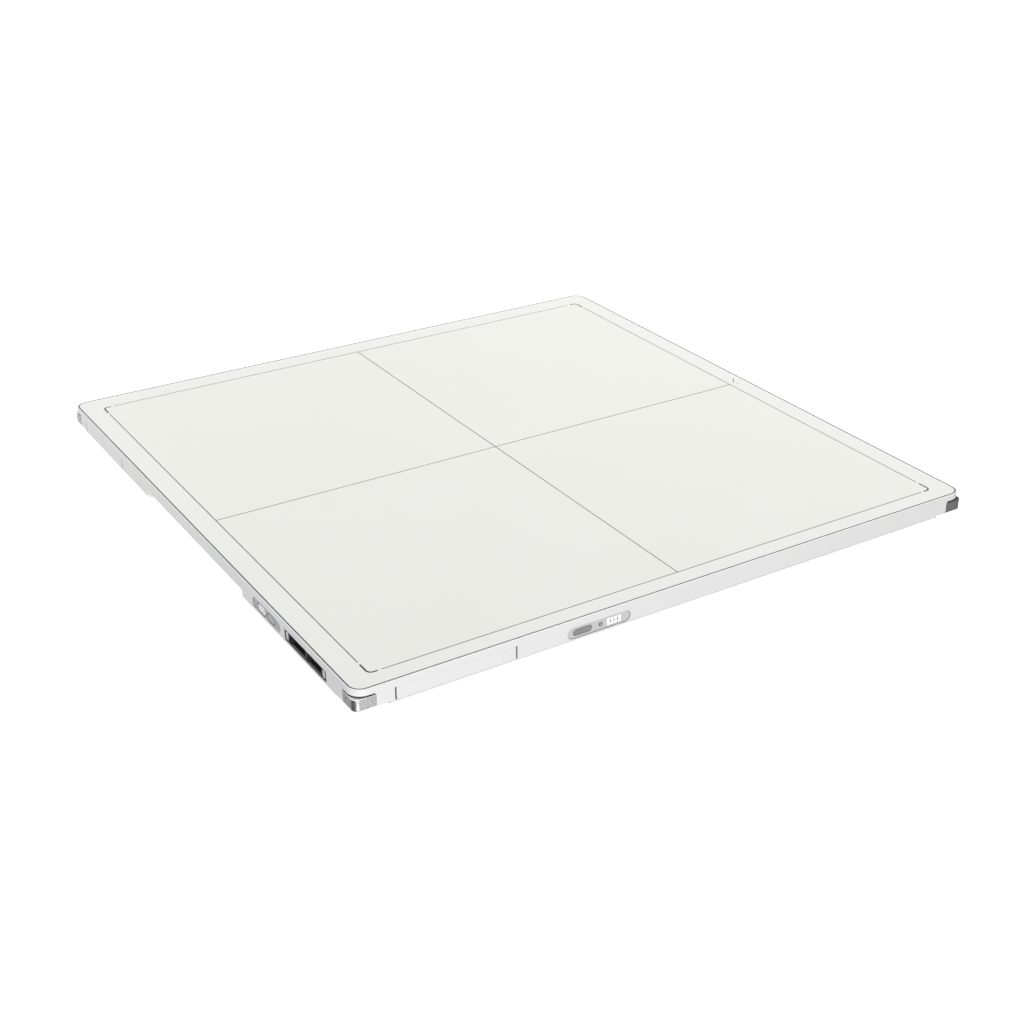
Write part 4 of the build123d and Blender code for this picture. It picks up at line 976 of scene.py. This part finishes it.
def softbox(name, around, up, away, size, power):
    """A round soft light that faces the object. The angle round it starts at the front, in degrees."""
    data = bpy.data.lights.new(name, "AREA")
    data.shape = "DISK"
    data.size = size
    data.energy = power
    made = bpy.data.objects.new(name, data)
    turn, lift = math.radians(around), math.radians(up)
    side = Vector((math.sin(turn) * math.cos(lift), -math.cos(turn) * math.cos(lift), math.sin(lift)))
    made.location = side * away
    made.rotation_euler = (-side).to_track_quat("-Z", "Y").to_euler()
    bpy.context.scene.collection.objects.link(made)


def room(tree):
    """The brightness of the room as a socket of the world's nodes."""
    add = functools.partial(add_node, tree)
    along = add("ShaderNodeTexCoord", {}).outputs["Generated"]
    level = add("ShaderNodeVectorMath", {0: along, 1: (1.0, 1.0, 0.0)}, operation="MULTIPLY").outputs[0]
    level = add("ShaderNodeVectorMath", {0: level}, operation="NORMALIZE").outputs[0]
    total = TABLE_DARK
    for around, fade, bright in CARDS:
        turn = math.radians(around)
        card = (-math.sin(turn), -math.cos(turn), 0.0)
        facing = add("ShaderNodeVectorMath", {0: level, 1: card}, operation="DOT_PRODUCT").outputs["Value"]
        ranges = {"Value": facing, "From Min": fade, "From Max": 1.0, "To Max": bright}
        glow = add("ShaderNodeMapRange", ranges, interpolation_type="SMOOTHSTEP").outputs[0]
        total = add("ShaderNodeMath", {0: glow, 1: total}, operation="ADD").outputs[0]
    height = add("ShaderNodeSeparateXYZ", {0: along}).outputs[2]
    below = add("ShaderNodeMath", {0: height, 1: 0.0}, operation="LESS_THAN").outputs[0]
    reflected = add("ShaderNodeMix", {"Factor": below, 2: ROOM_BRIGHT, 3: total}).outputs[0]
    path = add("ShaderNodeLightPath", {}).outputs
    lit = add("ShaderNodeMix", {"Factor": path["Is Glossy Ray"], 2: WORLD_LIGHT, 3: reflected}).outputs[0]
    return add("ShaderNodeMix", {"Factor": path["Is Camera Ray"], 2: lit, 3: 1.0}).outputs[0]


def light():
    world = bpy.data.worlds.new("studio")
    world.use_nodes = True
    background = world.node_tree.nodes["Background"]
    background.inputs["Color"].default_value = grey(1.0)
    world.node_tree.links.new(room(world.node_tree), background.inputs["Strength"])
    world.cycles.sampling_method = "NONE"
    bpy.context.scene.world = world
    for row in LIGHTS:
        softbox(*row)
    view = bpy.context.scene.view_settings
    view.view_transform = "Standard"
    view.look = "None"


wear_materials()
screws()
board_parts()
printed_frame()
paint_guard_gap_shadows()
status_panel()
power_panel()
connector()
paint_window_groove_shade()
camera()
floor()
light()
